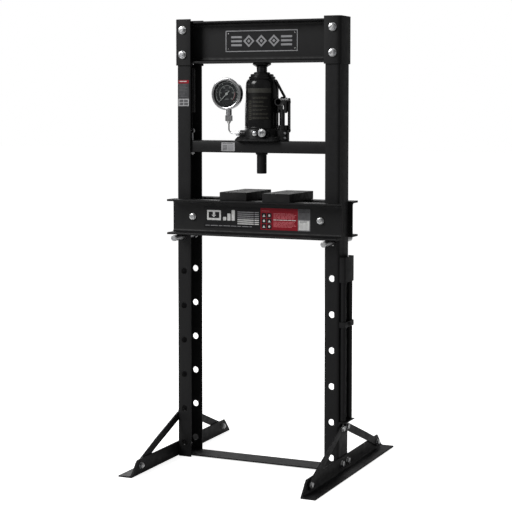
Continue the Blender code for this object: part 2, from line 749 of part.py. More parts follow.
def build_jack_base():
    bottom = CROSSHEAD_TOP + GAP
    half_x, half_y = JACK_BASE_SIZE[0] / 2, JACK_BASE_SIZE[1] / 2
    foot = extrusion([rounded_rectangle(half_x, half_y, 0.012)], "Z", bottom, bottom + JACK_FOOT_HEIGHT)
    bm = bmesh.new()
    bm.from_mesh(foot.data)
    top_z = max(v.co.z for v in bm.verts)
    rim = [e for e in bm.edges if all(v.co.z > top_z - 1e-6 for v in e.verts) and len(e.link_faces) == 2
           and abs(e.calc_face_angle(0.0)) > 0.5]
    bmesh.ops.bevel(bm, geom=rim, offset=0.009, segments=1, affect="EDGES")
    bm.to_mesh(foot.data)
    bm.free()
    casting = turned([(0, CASTING_TOP), (0.0575, CASTING_TOP), (0.0600, CASTING_TOP - 0.0022),
                      (0.0625, CASTING_TOP - 0.0067), (0.0640, CASTING_TOP - 0.0147),
                      (CASTING_RADIUS, bottom + JACK_FOOT_HEIGHT), (CASTING_RADIUS, bottom + 0.004),
                      (0, bottom + 0.004)], 36)
    boss = rod(PUMP_BOSS_RADIUS, (PUMP_X, 0, bottom), (PUMP_X, 0, PUMP_BOSS_TOP), 32)
    bridge = box((0.030, -0.014, bottom + 0.001), (PUMP_X, 0.014, PUMP_BOSS_TOP - 0.001))
    ear_half = LINK_INNER - 2 * GAP
    ear = box((PUMP_X - ear_half, LINK_FRONT + GAP, bottom), (PUMP_X + ear_half, LINK_BACK, EAR_TOP))
    valve_boss = rod(0.0142, (VALVE_X, -VALVE_BOSS_Y, VALVE_Z), (VALVE_X, -0.030, VALVE_Z), 20)
    plug_boss = rod(0.0115, (PLUG_BOSS_X, -PLUG_BOSS_Y, PLUG_BOSS_Z), (PLUG_BOSS_X, -0.040, PLUG_BOSS_Z), 18)
    pipe_boss = rod(0.0105, (-PIPE_BOSS_X, PIPE_Y, PIPE_Z), (-0.030, PIPE_Y, PIPE_Z), 16)
    base = join(foot, casting, boss, bridge, ear, valve_boss, plug_boss, pipe_boss, *build_base_ribs())
    pump_bore = rod(PLUNGER_RADIUS + HOLE_CLEARANCE, (PUMP_X, 0, bottom + 0.008),
                    (PUMP_X, 0, PUMP_BOSS_TOP + 0.01))
    valve_bore = rod(VALVE_RADIUS + HOLE_CLEARANCE, (VALVE_X, -0.070, VALVE_Z), (VALVE_X, -0.020, VALVE_Z))
    ear_bore = rod(LINK_PIN_RADIUS + HOLE_CLEARANCE, (PUMP_X - 0.03, FULCRUM_Y, LINK_FOOT_Z),
                   (PUMP_X + 0.03, FULCRUM_Y, LINK_FOOT_Z), 16)
    pockets = []
    for sign in (-1, 1):
        near, far = LINK_INNER - GAP, LINK_INNER + LINK_WALL + 0.0022
        xs = sorted((PUMP_X + sign * near, PUMP_X + sign * far))
        pockets.append(box((xs[0], LINK_FRONT - 0.0008, LINK_FOOT_Z - 0.0085),
                           (xs[1], LINK_BACK + 0.0010, EAR_TOP + 0.01)))
    base = cut(base, pump_bore, valve_bore, ear_bore, *pockets)
    return finish(base, "jack_base", "jack")


def shoulder_profile(radius, neck, low, high, steps):
    """Points of the rounded shoulder, from the neck down to the full radius."""
    points = []
    for step in range(steps + 1):
        angle = math.pi / 2 * (1 - step / steps)
        points.append((neck + (radius - neck) * math.cos(angle), low + (high - low) * math.sin(angle)))
    return points


def build_reservoir():
    inner_radius = RESERVOIR_RADIUS - RESERVOIR_WALL
    bottom = CASTING_TOP + GAP
    outer = shoulder_profile(RESERVOIR_RADIUS, NECK_RADIUS, SHOULDER_Z, NECK_Z, 6)
    inner = shoulder_profile(inner_radius, NECK_RADIUS - 0.0025, SHOULDER_Z,
                             NECK_Z - RESERVOIR_WALL, 3)
    lip = [(NECK_RADIUS - 0.0025, NECK_Z)]
    profile = outer + [(RESERVOIR_RADIUS, bottom), (inner_radius, bottom)] + inner[::-1] + lip
    shell = turned(profile, FINE, hollow=True)
    lug = box((0.0400, -0.0200, 1.2920), (0.0547, -0.0090, 1.3040))
    return finish(join(shell, lug), "jack_reservoir", "jack")


def build_jack_cylinder():
    bottom = CASTING_TOP + GAP
    tube = turned([(CYLINDER_OUTER, CYLINDER_TOP), (CYLINDER_OUTER, bottom),
                   (CYLINDER_BORE, bottom), (CYLINDER_BORE, CYLINDER_TOP)], 40, hollow=True)
    return finish(tube, "jack_cylinder", "steel")


def build_top_nut():
    bore = RAM_RADIUS + HOLE_CLEARANCE
    seat = CYLINDER_TOP + GAP
    rim = NECK_Z + GAP
    nut = turned([(bore, 1.3285), (0.0265, 1.3285), (0.0285, 1.3265), (0.0285, 1.3225),
                  (0.0385, 1.3220), (0.0400, 1.3205), (0.0405, 1.3140), (0.0450, 1.3135),
                  (0.0458, 1.3125), (0.0458, rim), (0.0418, rim), (0.0418, seat), (bore, seat)],
                 40, hollow=True)
    return finish(nut, "jack_top_nut", "jack")


def build_ram():
    groove_top, groove_bottom, groove_radius = 1.1528, 1.1462, 0.0222
    ram = turned([(0, RAM_TOP), (RAM_RADIUS - 0.001, RAM_TOP), (RAM_RADIUS, RAM_TOP - 0.001),
                  (RAM_RADIUS, PISTON_TOP), (PISTON_RADIUS, PISTON_TOP),
                  (PISTON_RADIUS, groove_top), (groove_radius, groove_top),
                  (groove_radius, groove_bottom), (PISTON_RADIUS, groove_bottom),
                  (PISTON_RADIUS, PISTON_BOTTOM), (0, PISTON_BOTTOM)], 40)
    finish(ram, "jack_ram", "dark_steel")
    seal = turned([(0.0257, 1.1522), (0.0257, 1.1468), (0.0225, 1.1468), (0.0225, 1.1522)],
                  40, hollow=True)
    finish(seal, "ram_seal", "rubber")
    saddle = turned([(0, SADDLE_TOP), (0.0306, SADDLE_TOP), (0.0316, SADDLE_TOP - 0.001),
                     (0.0316, SADDLE_TOP - 0.0060), (0.0268, SADDLE_TOP - 0.0090),
                     (0.0205, SADDLE_BOTTOM + 0.0020), (0.0195, SADDLE_BOTTOM), (0, SADDLE_BOTTOM)], 40)
    finish(saddle, "ram_saddle", "jack")


def build_pump():
    barrel = turned([(BARREL_RADIUS, BARREL_TOP - 0.0015), (BARREL_RADIUS, PUMP_BOSS_TOP + GAP),
                     (PLUNGER_RADIUS + HOLE_CLEARANCE, PUMP_BOSS_TOP + GAP),
                     (PLUNGER_RADIUS + HOLE_CLEARANCE, BARREL_TOP),
                     (BARREL_RADIUS - 0.0015, BARREL_TOP)],
                    32, hollow=True, axis_origin=(PUMP_X, 0, 0))
    finish(barrel, "pump_barrel", "jack")
    plunger = turned([(0, PLUNGER_TOP), (PLUNGER_RADIUS - 0.001, PLUNGER_TOP),
                      (PLUNGER_RADIUS, PLUNGER_TOP - 0.001), (PLUNGER_RADIUS, PLUNGER_BOTTOM),
                      (0, PLUNGER_BOTTOM)], ROUND, axis_origin=(PUMP_X, 0, 0))
    finish(plunger, "pump_plunger", "dark_steel")


def build_handle_socket():
    """Socket tube for the pump handle, with two cheeks over the plunger and a fulcrum bore."""
    tube = rod(SOCKET_RADIUS, (PUMP_X, SOCKET_FRONT, SOCKET_Z), (PUMP_X, SOCKET_BACK, SOCKET_Z), 32)
    cheek = rounded([(-0.0120, SOCKET_Z, 0.0), (-0.0120, SOCKET_Z - 0.034, 0.005),
                     (-0.0040, SOCKET_Z - 0.037, 0.003), (0.0100, SOCKET_Z - 0.037, 0.006),
                     (0.0285, SOCKET_Z - 0.024, 0.006), (0.0285, SOCKET_Z, 0.0)])
    cheeks = [extrusion([cheek], "X", PUMP_X + low, PUMP_X + low + 0.0031) for low in (-0.0123, 0.0092)]
    bore = rod(SOCKET_BORE, (PUMP_X, SOCKET_FRONT - 0.01, SOCKET_Z), (PUMP_X, 0.006, SOCKET_Z))
    fulcrum = rod(LINK_PIN_RADIUS + HOLE_CLEARANCE, (PUMP_X - 0.02, FULCRUM_Y, SOCKET_Z),
                  (PUMP_X + 0.02, FULCRUM_Y, SOCKET_Z), 16)
    socket = cut(join(tube, *cheeks), bore, fulcrum)
    set_origin(socket, (PUMP_X, FULCRUM_Y, SOCKET_Z))
    return finish(socket, "pump_handle_socket", "jack")


def build_side_links():
    """Two flat links from the base's ear to the fulcrum, with their cross pins.

    The left link reaches back over the socket to the pin that holds the stay."""
    low, high = LINK_FOOT_Z - 0.0077, STAY_PIN_Z + 0.006
    foot = [(LINK_FRONT, low, 0.006), (LINK_BACK, low, 0.006)]
    right = rounded(foot + [(LINK_BACK, SOCKET_Z + 0.0135, 0.007), (LINK_FRONT, SOCKET_Z + 0.0135, 0.007)])
    left = rounded(foot + [(LINK_BACK, SOCKET_Z - 0.004, 0.0),
                           (STAY_PIN_Y + 0.006, STAY_PIN_Z - 0.006, 0.004),
                           (STAY_PIN_Y + 0.006, high, 0.005), (STAY_PIN_Y - 0.008, high, 0.005),
                           (LINK_FRONT, SOCKET_Z + 0.010, 0.006)])
    plates = []
    for sign, outline in ((-1, left), (1, right)):
        start = PUMP_X + sign * LINK_INNER
        plates.append(extrusion([outline], "X", start, start + sign * LINK_WALL))
    reach = LINK_INNER + LINK_WALL + 0.0015
    pins = []
    for y, z, radius, right_end in ((FULCRUM_Y, LINK_FOOT_Z, LINK_PIN_RADIUS, reach),
                                    (FULCRUM_Y, SOCKET_Z, LINK_PIN_RADIUS, reach),
                                    (STAY_PIN_Y, STAY_PIN_Z, 0.003, 0.002)):
        pins.append(rod(radius, (PUMP_X - reach, y, z), (PUMP_X + right_end, y, z), 16))
    return finish(join(plates[0], plates[1], *pins), "pump_side_links", "jack")


def build_stay():
    """Flat stay from the lug on the jack's shoulder down to the left link's upper pin."""
    start = Vector((0.0580, -0.0150, 1.3000))
    end = Vector((PUMP_X - 0.0045, STAY_PIN_Y, STAY_PIN_Z))
    along = (end - start).normalized()
    across = along.cross(Vector((1.0, 0.0, 0.0))).normalized()
    outward = along.cross(across)
    length = (end - start).length - 0.0045
    bar = box((-STAY_WIDTH / 2, -STAY_WALL / 2, 0.0), (STAY_WIDTH / 2, STAY_WALL / 2, length))
    axes = Matrix((across, outward, along)).transposed().to_4x4()
    bpy.context.view_layer.update()
    bar.data.transform(Matrix.Translation(start) @ axes @ bar.matrix_world)
    bar.matrix_world = Matrix.Identity(4)
    return finish(bar, "pump_stay", "jack")


def build_release_valve():
    front = -VALVE_BOSS_Y - GAP
    lengths = [(0.0, -0.016), (0.0055, -0.016), (0.0075, -0.015), (0.0075, -0.0075),
               (0.0130, -0.0070), (0.0140, -0.0060), (0.0140, -0.0012), (0.0130, 0.0),
               (VALVE_RADIUS, 0.0), (VALVE_RADIUS, 0.028), (0.0, 0.030)]
    profile = [(radius, -depth) for radius, depth in lengths]
    valve = turned(profile, ROUND, axis_origin=(VALVE_X, front, VALVE_Z),
                   rotation=(math.pi / 2, 0, 0))
    tab = box((VALVE_X - 0.0012, front - 0.024, VALVE_Z - 0.0065),
              (VALVE_X + 0.0012, front - 0.014, VALVE_Z + 0.0065))
    valve = join(valve, tab)
    set_origin(valve, (VALVE_X, front, VALVE_Z))
    return finish(valve, "release_valve", "zinc")


# ---------------------------------------------------------------- pressure gauge

def gauge_turned(profile, segments, hollow, name, finish_name):
    """Turn a gauge part about the gauge's axis; heights are measured forward from Y = 0."""
    part = turned(profile, segments, hollow, axis_origin=(GAUGE_X, 0, GAUGE_Z),
                  rotation=(math.pi / 2, 0, 0))
    return finish(part, name, finish_name)


def build_gauge():
    front, back = -GAUGE_FRONT, -GAUGE_BACK
    floor = back + 0.004
    case = [(0.0462, front - 0.0008), (0.0490, front), (0.0528, front - 0.0008),
            (GAUGE_RADIUS, front - 0.0030), (GAUGE_RADIUS, front - 0.0085),
            (GAUGE_CASE_RADIUS, front - 0.0095), (GAUGE_CASE_RADIUS, back + 0.004),
            (GAUGE_CASE_RADIUS - 0.004, back), (0.0, back)]
    cavity = [(0.0, floor), (0.0482, floor), (0.0482, front - 0.0022), (0.0462, front - 0.0022)]
    gauge_turned(cavity + case, FINE, False, "gauge_case", "chrome")
    lens_front = front - 0.0025
    gauge_turned([(0, lens_front), (0.0478, lens_front), (0.0478, lens_front - 0.0016),
                  (0, lens_front - 0.0016)], 40, False, "gauge_lens", "lens")
    dial_front = front - 0.0095
    gauge_turned([(0, dial_front), (DIAL_RADIUS, dial_front), (DIAL_RADIUS, dial_front - 0.0012),
                  (0, dial_front - 0.0012)], 40, False, "gauge_dial", "dial")
    build_pointer(-(dial_front + 0.0015), -(dial_front + 0.0030))


def build_pointer(back_y, front_y):
    """Needle with its short tail, lying across the hub, at its rest angle on the dial."""
    rest_angle = math.radians(225)
    tip, tail, hub = 0.036, 0.014, 0.0045
    bar = rounded([(-tail, -0.0016, 0.0), (tip, -0.0006, 0.0), (tip, 0.0006, 0.0), (-tail, 0.0016, 0.0)])
    outline = []
    for point in bar:
        place = Matrix.Rotation(rest_angle, 2) @ point
        outline.append((GAUGE_X + place.x, GAUGE_Z + place.y))
    needle = extrusion([outline], "Y", back_y, front_y)
    disc = rod(hub, (GAUGE_X, back_y + 0.0006, GAUGE_Z), (GAUGE_X, front_y - 0.0006, GAUGE_Z), 20)
    pointer = join(disc, needle)
    set_origin(pointer, (GAUGE_X, (back_y + front_y) / 2, GAUGE_Z))
    return finish(pointer, "gauge_pointer", "pointer")


def build_gauge_pipe():
    """Stem, union nut, bent pipe and the fitting that enters the left of the jack's base."""
    stem_top = GAUGE_Z - GAUGE_CASE_RADIUS - GAP
    nut_top, nut_bottom = stem_top - 0.0205, stem_top - 0.0400
    stem = rod(0.0098, (GAUGE_X, PIPE_Y, nut_top - 0.002), (GAUGE_X, PIPE_Y, stem_top), 20)
    tail = rod(0.0036, (GAUGE_X, PIPE_Y, nut_bottom - 0.009),
               (GAUGE_X, PIPE_Y, nut_bottom + 0.001), 16, 0.0085)
    nut = hexagon(0.0215, nut_bottom, nut_top)
    nut.location.x = GAUGE_X
    nut.location.y = PIPE_Y
    casting_face = -PIPE_BOSS_X - GAP
    points = [(GAUGE_X, PIPE_Y, nut_bottom + 0.004)]
    for step in range(7):
        angle = math.pi / 2 * step / 6
        points.append((GAUGE_X + PIPE_BEND * (1 - math.cos(angle)), PIPE_Y,
                       PIPE_Z + PIPE_BEND * (1 - math.sin(angle))))
    points.append((casting_face - 0.010, PIPE_Y, PIPE_Z))
    curve = bpy.data.curves.new("pipe", "CURVE")
    curve.dimensions = "3D"
    curve.bevel_depth = PIPE_RADIUS
    curve.bevel_resolution = 2
    curve.use_fill_caps = True
    spline = curve.splines.new("POLY")
    spline.points.add(len(points) - 1)
    for point, place in zip(spline.points, points):
        point.co = (*place, 1.0)
    obj = bpy.data.objects.new("pipe", curve)
    bpy.context.scene.collection.objects.link(obj)
    pipe = as_mesh(obj, WELD)
    fitting = hexagon(0.0175, 0.0, 0.016)
    fitting.data.transform(Matrix.Translation(fitting.location))
    fitting.location = (casting_face - 0.016, PIPE_Y, PIPE_Z)
    fitting.rotation_euler = (0, math.pi / 2, 0)
    return finish(join(nut, stem, tail, pipe, fitting), "gauge_pipe", "zinc")


def build_jack():
    build_jack_base()
    build_reservoir()
    build_jack_cylinder()
    build_top_nut()
    build_ram()
    build_pump()
    build_handle_socket()
    build_side_links()
    build_stay()
    build_release_valve()
    build_gauge()
    build_gauge_pipe()


# ---------------------------------------------------------------- stored pump handle

def build_handle_store():
    section = channel_section(COLUMN_OUTER_X + GAP, HOLDER_OUTER_X, HOLDER_HALF_DEPTH,
                              HOLDER_WALL, 0.006)
    finish(extrusion([section], "Z", HOLDER_BOTTOM, HOLDER_TOP), "handle_holder", "paint")
    inner = COLUMN_OUTER_X + GAP
    shelf = rounded([(inner, 0.1680, 0.0), (0.3220, 0.1680, 0.001), (0.3220, 0.1710, 0.001),
                     (inner, 0.1710, 0.0)])
    finish(extrusion([shelf], "Y", -HOLDER_HALF_DEPTH, HOLDER_HALF_DEPTH), "handle_shelf", "paint")
    chamfer = 0.0015
    for name, y in (("lower", -HANDLE_Y), ("upper", HANDLE_Y)):
        bar = turned([(0, HANDLE_TOP), (HANDLE_RADIUS - chamfer, HANDLE_TOP),
                      (HANDLE_RADIUS, HANDLE_TOP - chamfer), (HANDLE_RADIUS, HANDLE_BOTTOM + chamfer),
                      (HANDLE_RADIUS - chamfer, HANDLE_BOTTOM), (0, HANDLE_BOTTOM)],
                     ROUND, axis_origin=(HANDLE_X, y, 0))
        finish(bar, f"pump_handle_{name}_half", "paint")


build_frame()
build_bed()
build_crosshead()
build_press_pin()
for spring_name, spring_side in SIDES.items():
    build_spring(spring_name, spring_side)
    build_eyebolt(spring_name, spring_side)
build_jack()
build_handle_store()
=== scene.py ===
"""Looks of the hydraulic shop press: finishes, fasteners, springs, labels, stage and camera.

Metres, +Z up, -Y towards the operator, as in the frame that is loaded first.
"""

import json
import math
import random

import bmesh
import bpy
from mathutils import Matrix, Vector

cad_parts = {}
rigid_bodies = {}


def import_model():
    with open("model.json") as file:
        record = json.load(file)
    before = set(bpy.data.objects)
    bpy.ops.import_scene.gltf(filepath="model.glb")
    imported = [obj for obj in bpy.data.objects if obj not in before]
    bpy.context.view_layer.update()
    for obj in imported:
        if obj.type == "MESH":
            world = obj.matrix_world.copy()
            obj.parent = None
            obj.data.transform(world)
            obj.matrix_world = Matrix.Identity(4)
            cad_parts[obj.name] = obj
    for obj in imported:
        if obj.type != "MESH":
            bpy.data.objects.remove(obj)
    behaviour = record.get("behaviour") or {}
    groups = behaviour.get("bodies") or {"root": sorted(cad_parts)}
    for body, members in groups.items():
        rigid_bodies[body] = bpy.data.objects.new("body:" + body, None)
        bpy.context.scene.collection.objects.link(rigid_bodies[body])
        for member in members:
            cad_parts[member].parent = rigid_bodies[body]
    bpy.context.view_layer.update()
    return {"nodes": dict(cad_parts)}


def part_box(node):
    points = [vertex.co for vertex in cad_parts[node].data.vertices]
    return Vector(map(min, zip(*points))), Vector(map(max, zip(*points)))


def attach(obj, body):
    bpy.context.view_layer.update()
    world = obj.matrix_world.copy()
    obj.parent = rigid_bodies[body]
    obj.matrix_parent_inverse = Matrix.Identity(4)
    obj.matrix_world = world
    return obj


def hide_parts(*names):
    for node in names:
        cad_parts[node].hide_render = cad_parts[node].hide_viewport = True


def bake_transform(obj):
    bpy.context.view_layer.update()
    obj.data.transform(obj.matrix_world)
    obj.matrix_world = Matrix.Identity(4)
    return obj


for leftover in list(bpy.data.objects):
    bpy.data.objects.remove(leftover)
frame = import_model()
NODES = frame["nodes"]
SIDES = {"left": -1, "right": 1}


# ---------------------------------------------------------------- node materials

class Shader:
    """A Principled material whose inputs are fed by noise in object coordinates."""

    def __init__(self, name, color, roughness, metallic=0.0, specular=0.5):
        self.material = bpy.data.materials.new(name)
        self.material.use_nodes = True
        self.tree = self.material.node_tree
        self.shader = self.tree.nodes["Principled BSDF"]
        self.set("Base Color", (*color, 1.0))
        self.set("Roughness", roughness)
        self.set("Metallic", metallic)
        self.set("Specular IOR Level", specular)
        self.place = self.tree.nodes.new("ShaderNodeTexCoord").outputs["Object"]
        self.normal = None

    def set(self, socket, value):
        self.shader.inputs[socket].default_value = value

    def link(self, output, target):
        self.tree.links.new(output, target)

    def stretched(self, stretch):
        """Coordinates scaled per axis, for grain that runs one way."""
        mapping = self.tree.nodes.new("ShaderNodeMapping")
        mapping.inputs["Scale"].default_value = stretch
        self.link(self.place, mapping.inputs["Vector"])
        return mapping.outputs["Vector"]

    def noise(self, scale, detail=3.0, stretch=None):
        texture = self.tree.nodes.new("ShaderNodeTexNoise")
        texture.inputs["Scale"].default_value = scale
        texture.inputs["Detail"].default_value = detail
        self.link(self.stretched(stretch) if stretch else self.place, texture.inputs["Vector"])
        return texture.outputs["Fac"]

    def ramp(self, factor, low, high, start=0.35, end=0.65):
        """A value that runs from low to high as the factor crosses the middle of its range."""
        span = self.tree.nodes.new("ShaderNodeMapRange")
        limits = {"From Min": start, "From Max": end, "To Min": low, "To Max": high}
        for socket, value in limits.items():
            span.inputs[socket].default_value = value
        self.link(factor, span.inputs["Value"])
        return span.outputs["Result"]

    def mix(self, factor, first, second):
        blend = self.tree.nodes.new("ShaderNodeMix")
        blend.data_type = "RGBA"
        self.link(factor, blend.inputs[0])
        for socket, value in ((blend.inputs[6], first), (blend.inputs[7], second)):
            socket.default_value = (*value, 1.0)
        return blend.outputs[2]

    def color(self, factor, first, second):
        self.link(self.mix(factor, first, second), self.shader.inputs["Base Color"])

    def roughness(self, factor, low, high):
        self.link(self.ramp(factor, low, high), self.shader.inputs["Roughness"])

    def bump(self, height, strength, distance):
        node = self.tree.nodes.new("ShaderNodeBump")
        node.inputs["Strength"].default_value = strength
        node.inputs["Distance"].default_value = distance
        self.link(height, node.inputs["Height"])
        if self.normal is not None:
            self.link(self.normal, node.inputs["Normal"])
        self.normal = node.outputs["Normal"]
        self.link(self.normal, self.shader.inputs["Normal"])


def powder_coat():
    """Satin black powder coat: fine orange peel and faint cloudiness."""
    coat = Shader("powder_coat", (0.0105, 0.0105, 0.0112), 0.50, specular=0.20)
    coat.color(coat.ramp(coat.noise(7.0, 4.0), 0.0, 1.0), (0.0096, 0.0096, 0.0102), (0.0114, 0.0114, 0.0119))
    coat.roughness(coat.noise(45.0, 5.0), 0.41, 0.53)
    coat.bump(coat.noise(900.0, 2.0), 0.16, 0.0003)
    coat.bump(coat.noise(160.0, 2.0), 0.06, 0.0006)
    return coat.material


def enamel():
    """Gloss black enamel over a casting or a drawn tube."""
    coat = Shader("jack_enamel", (0.0040, 0.0040, 0.0043), 0.18, specular=0.32)
    coat.color(coat.ramp(coat.noise(12.0, 4.0), 0.0, 1.0), (0.0040, 0.0040, 0.0043), (0.0065, 0.0065, 0.0068))
    coat.roughness(coat.noise(60.0, 5.0), 0.14, 0.26)
    coat.bump(coat.noise(260.0, 2.0), 0.05, 0.0005)
    coat.set("Coat Weight", 0.15)
    coat.set("Coat Roughness", 0.08)
    return coat.material


def cast_enamel():
    """The same enamel over rough sand-cast iron."""
    coat = Shader("cast_enamel", (0.0058, 0.0058, 0.0062), 0.30, specular=0.45)
    coat.color(coat.ramp(coat.noise(20.0, 4.0), 0.0, 1.0), (0.0048, 0.0048, 0.0051), (0.0080, 0.0080, 0.0084))
    coat.roughness(coat.noise(120.0, 5.0), 0.24, 0.42)
    coat.bump(coat.noise(420.0, 4.0), 0.30, 0.0006)
    return coat.material


def plate_steel():
    """Black mill scale of the loose press plates."""
    scale = Shader("mill_scale", (0.012, 0.012, 0.013), 0.5, metallic=0.20, specular=0.24)
    blotches = scale.ramp(scale.noise(28.0, 6.0), 0.0, 1.0)
    scale.color(blotches, (0.0085, 0.0085, 0.0092), (0.0170, 0.0168, 0.0165))
    scale.roughness(scale.noise(70.0, 6.0), 0.38, 0.62)
    scale.bump(scale.noise(500.0, 4.0), 0.22, 0.0004)
    return scale.material


def zinc():
    """Bright zinc plating with a faint bluish cloudiness."""
    metal = Shader("zinc_plating", (0.62, 0.63, 0.63), 0.26, metallic=1.0)
    metal.color(metal.ramp(metal.noise(90.0, 3.0), 0.0, 1.0), (0.60, 0.61, 0.63), (0.72, 0.72, 0.71))
    metal.roughness(metal.noise(160.0, 3.0), 0.24, 0.34)
    metal.bump(metal.noise(500.0, 2.0), 0.03, 0.0002)
    return metal.material


def ground_steel():
    """Ground and oiled steel with marks round the bar."""
    metal = Shader("ground_steel", (0.40, 0.40, 0.39), 0.24, metallic=1.0)
    rings = metal.noise(30.0, 4.0, stretch=(1.0, 1.0, 60.0))
    metal.color(metal.ramp(rings, 0.0, 1.0), (0.33, 0.33, 0.32), (0.50, 0.50, 0.49))
    metal.roughness(rings, 0.16, 0.34)
    metal.bump(rings, 0.08, 0.0002)
    return metal.material


def dark_steel():
    """Oil-blackened steel, semi-gloss, with faint turning marks."""
    metal = Shader("black_oxide", (0.045, 0.045, 0.048), 0.34, metallic=0.85)
    rings = metal.noise(24.0, 4.0, stretch=(1.0, 1.0, 45.0))
    metal.color(metal.ramp(metal.noise(50.0, 4.0), 0.0, 1.0), (0.030, 0.030, 0.033), (0.060, 0.059, 0.058))
    metal.roughness(rings, 0.26, 0.44)
    metal.bump(rings, 0.10, 0.0003)
    return metal.material


def chrome():
    """Bright stainless gauge case with very faint waviness."""
    metal = Shader("polished_case", (0.72, 0.72, 0.73), 0.08, metallic=1.0)
    metal.color(metal.ramp(metal.noise(18.0, 2.0), 0.0, 1.0), (0.60, 0.60, 0.61), (0.72, 0.72, 0.73))
    metal.roughness(metal.noise(90.0, 4.0), 0.12, 0.22)
    metal.bump(metal.noise(40.0, 2.0), 0.03, 0.0005)
    return metal.material


def glass():
    """Flat gauge glass: mostly clear, with a soft reflection."""
    material = bpy.data.materials.new("gauge_glass")
    material.use_nodes = True
    tree = material.node_tree
    tree.nodes.clear()
    output = tree.nodes.new("ShaderNodeOutputMaterial")
    clear = tree.nodes.new("ShaderNodeBsdfTransparent")
    clear.inputs["Color"].default_value = (0.96, 0.975, 0.97, 1.0)
    gloss = tree.nodes.new("ShaderNodeBsdfGlossy")
    smear = tree.nodes.new("ShaderNodeTexNoise")
    smear.inputs["Scale"].default_value = 35.0
    fresnel = tree.nodes.new("ShaderNodeFresnel")
    fresnel.inputs["IOR"].default_value = 1.35
    spread = tree.nodes.new("ShaderNodeMapRange")
    spread.inputs["To Min"].default_value = 0.02
    spread.inputs["To Max"].default_value = 0.10
    blend = tree.nodes.new("ShaderNodeMixShader")
    tree.links.new(smear.outputs["Fac"], spread.inputs["Value"])
    tree.links.new(spread.outputs["Result"], gloss.inputs["Roughness"])
    tree.links.new(fresnel.outputs["Fac"], blend.inputs["Fac"])
    tree.links.new(clear.outputs["BSDF"], blend.inputs[1])
    tree.links.new(gloss.outputs["BSDF"], blend.inputs[2])
    tree.links.new(blend.outputs["Shader"], output.inputs["Surface"])
    return material


def rubber():
    """Black nitrile rubber."""
    soft = Shader("nitrile_rubber", (0.012, 0.012, 0.012), 0.6, specular=0.3)
    soft.roughness(soft.noise(80.0, 4.0), 0.52, 0.72)
    soft.bump(soft.noise(600.0, 3.0), 0.15, 0.0003)
    return soft.material


def printed(name, color, roughness):
    """Ink or film of a label, with slight mottling."""
    variation = 0.12
    ink = Shader(name, color, roughness, specular=0.2)
    darker = [channel * (1.0 - variation) for channel in color]
    lighter = [min(1.0, channel * (1.0 + variation)) for channel in color]
    ink.color(ink.ramp(ink.noise(90.0, 4.0), 0.0, 1.0), darker, lighter)
    ink.roughness(ink.noise(140.0, 3.0), roughness * 0.85, roughness * 1.15)
    ink.bump(ink.noise(700.0, 2.0), 0.04, 0.0002)
    return ink.material


def brushed_foil(name, color, stretch):
    """Aluminium foil label with brush marks along one axis."""
    foil = Shader(name, color, 0.36, metallic=0.75)
    brush = foil.noise(40.0, 5.0, stretch=stretch)
    foil.color(foil.ramp(brush, 0.0, 1.0), [c * 0.82 for c in color], color)
    foil.roughness(brush, 0.28, 0.46)
    foil.bump(brush, 0.06, 0.0001)
    return foil.material


PAINT = powder_coat()
ENAMEL = enamel()
CAST = cast_enamel()
PLATE = plate_steel()
ZINC = zinc()
STEEL = ground_steel()
DARK = dark_steel()
CHROME = chrome()
GLASS = glass()
RUBBER = rubber()
DIAL = printed("dial_black", (0.030, 0.030, 0.033), 0.60)
WHITE_INK = printed("white_ink", (0.70, 0.70, 0.69), 0.55)
GREY_INK = printed("grey_ink", (0.26, 0.26, 0.27), 0.50)
DARK_INK = printed("dark_ink", (0.010, 0.010, 0.011), 0.42)
RED_INK = printed("red_ink", (0.29, 0.009, 0.020), 0.45)
PINK_INK = printed("pink_ink", (0.62, 0.16, 0.18), 0.45)
SLATE_INK = printed("slate_ink", (0.055, 0.055, 0.058), 0.45)
SHADE_INK = printed("shade_ink", (0.115, 0.115, 0.120), 0.45)
JACK_BAND = printed("jack_band", (0.050, 0.049, 0.044), 0.42)
JACK_LABEL = printed("jack_label", (0.0060, 0.0058, 0.0054), 0.42)
JACK_LINE = printed("jack_line", (0.055, 0.053, 0.044), 0.44)
FOIL = brushed_foil("label_foil", (0.52, 0.52, 0.53), (3.0, 1.0, 60.0))
FRAME_FOIL = brushed_foil("plate_border", (0.30, 0.30, 0.31), (3.0, 1.0, 60.0))


# ---------------------------------------------------------------- finishes of the CAD nodes

BEVEL_SEGMENTS = 2
BEVEL_ANGLE = 33
# With its facets dissolved, the gauge case's thin rim shades unevenly.
KEPT_FACETS = ("gauge_case",)


def soften(name, material, width):
    """Give a CAD node its finish, smooth its round faces and ease its sharp edges."""
    obj = NODES[name]
    mesh = obj.data
    mesh.materials.clear()
    mesh.materials.append(material)
    custom = mesh.attributes.get("custom_normal")
    if custom is not None:
        mesh.attributes.remove(custom)
    mesh.shade_smooth()
    weld = obj.modifiers.new("weld", "WELD")
    weld.merge_threshold = 0.00001
    if name not in KEPT_FACETS:
        flats = obj.modifiers.new("flats", "DECIMATE")
        flats.decimate_type = "DISSOLVE"
        flats.angle_limit = math.radians(0.4)
    edges = obj.modifiers.new("edges", "BEVEL")
    edges.width = width
    edges.segments = BEVEL_SEGMENTS
    edges.limit_method = "ANGLE"
    edges.angle_limit = math.radians(BEVEL_ANGLE)
    edges.harden_normals = True


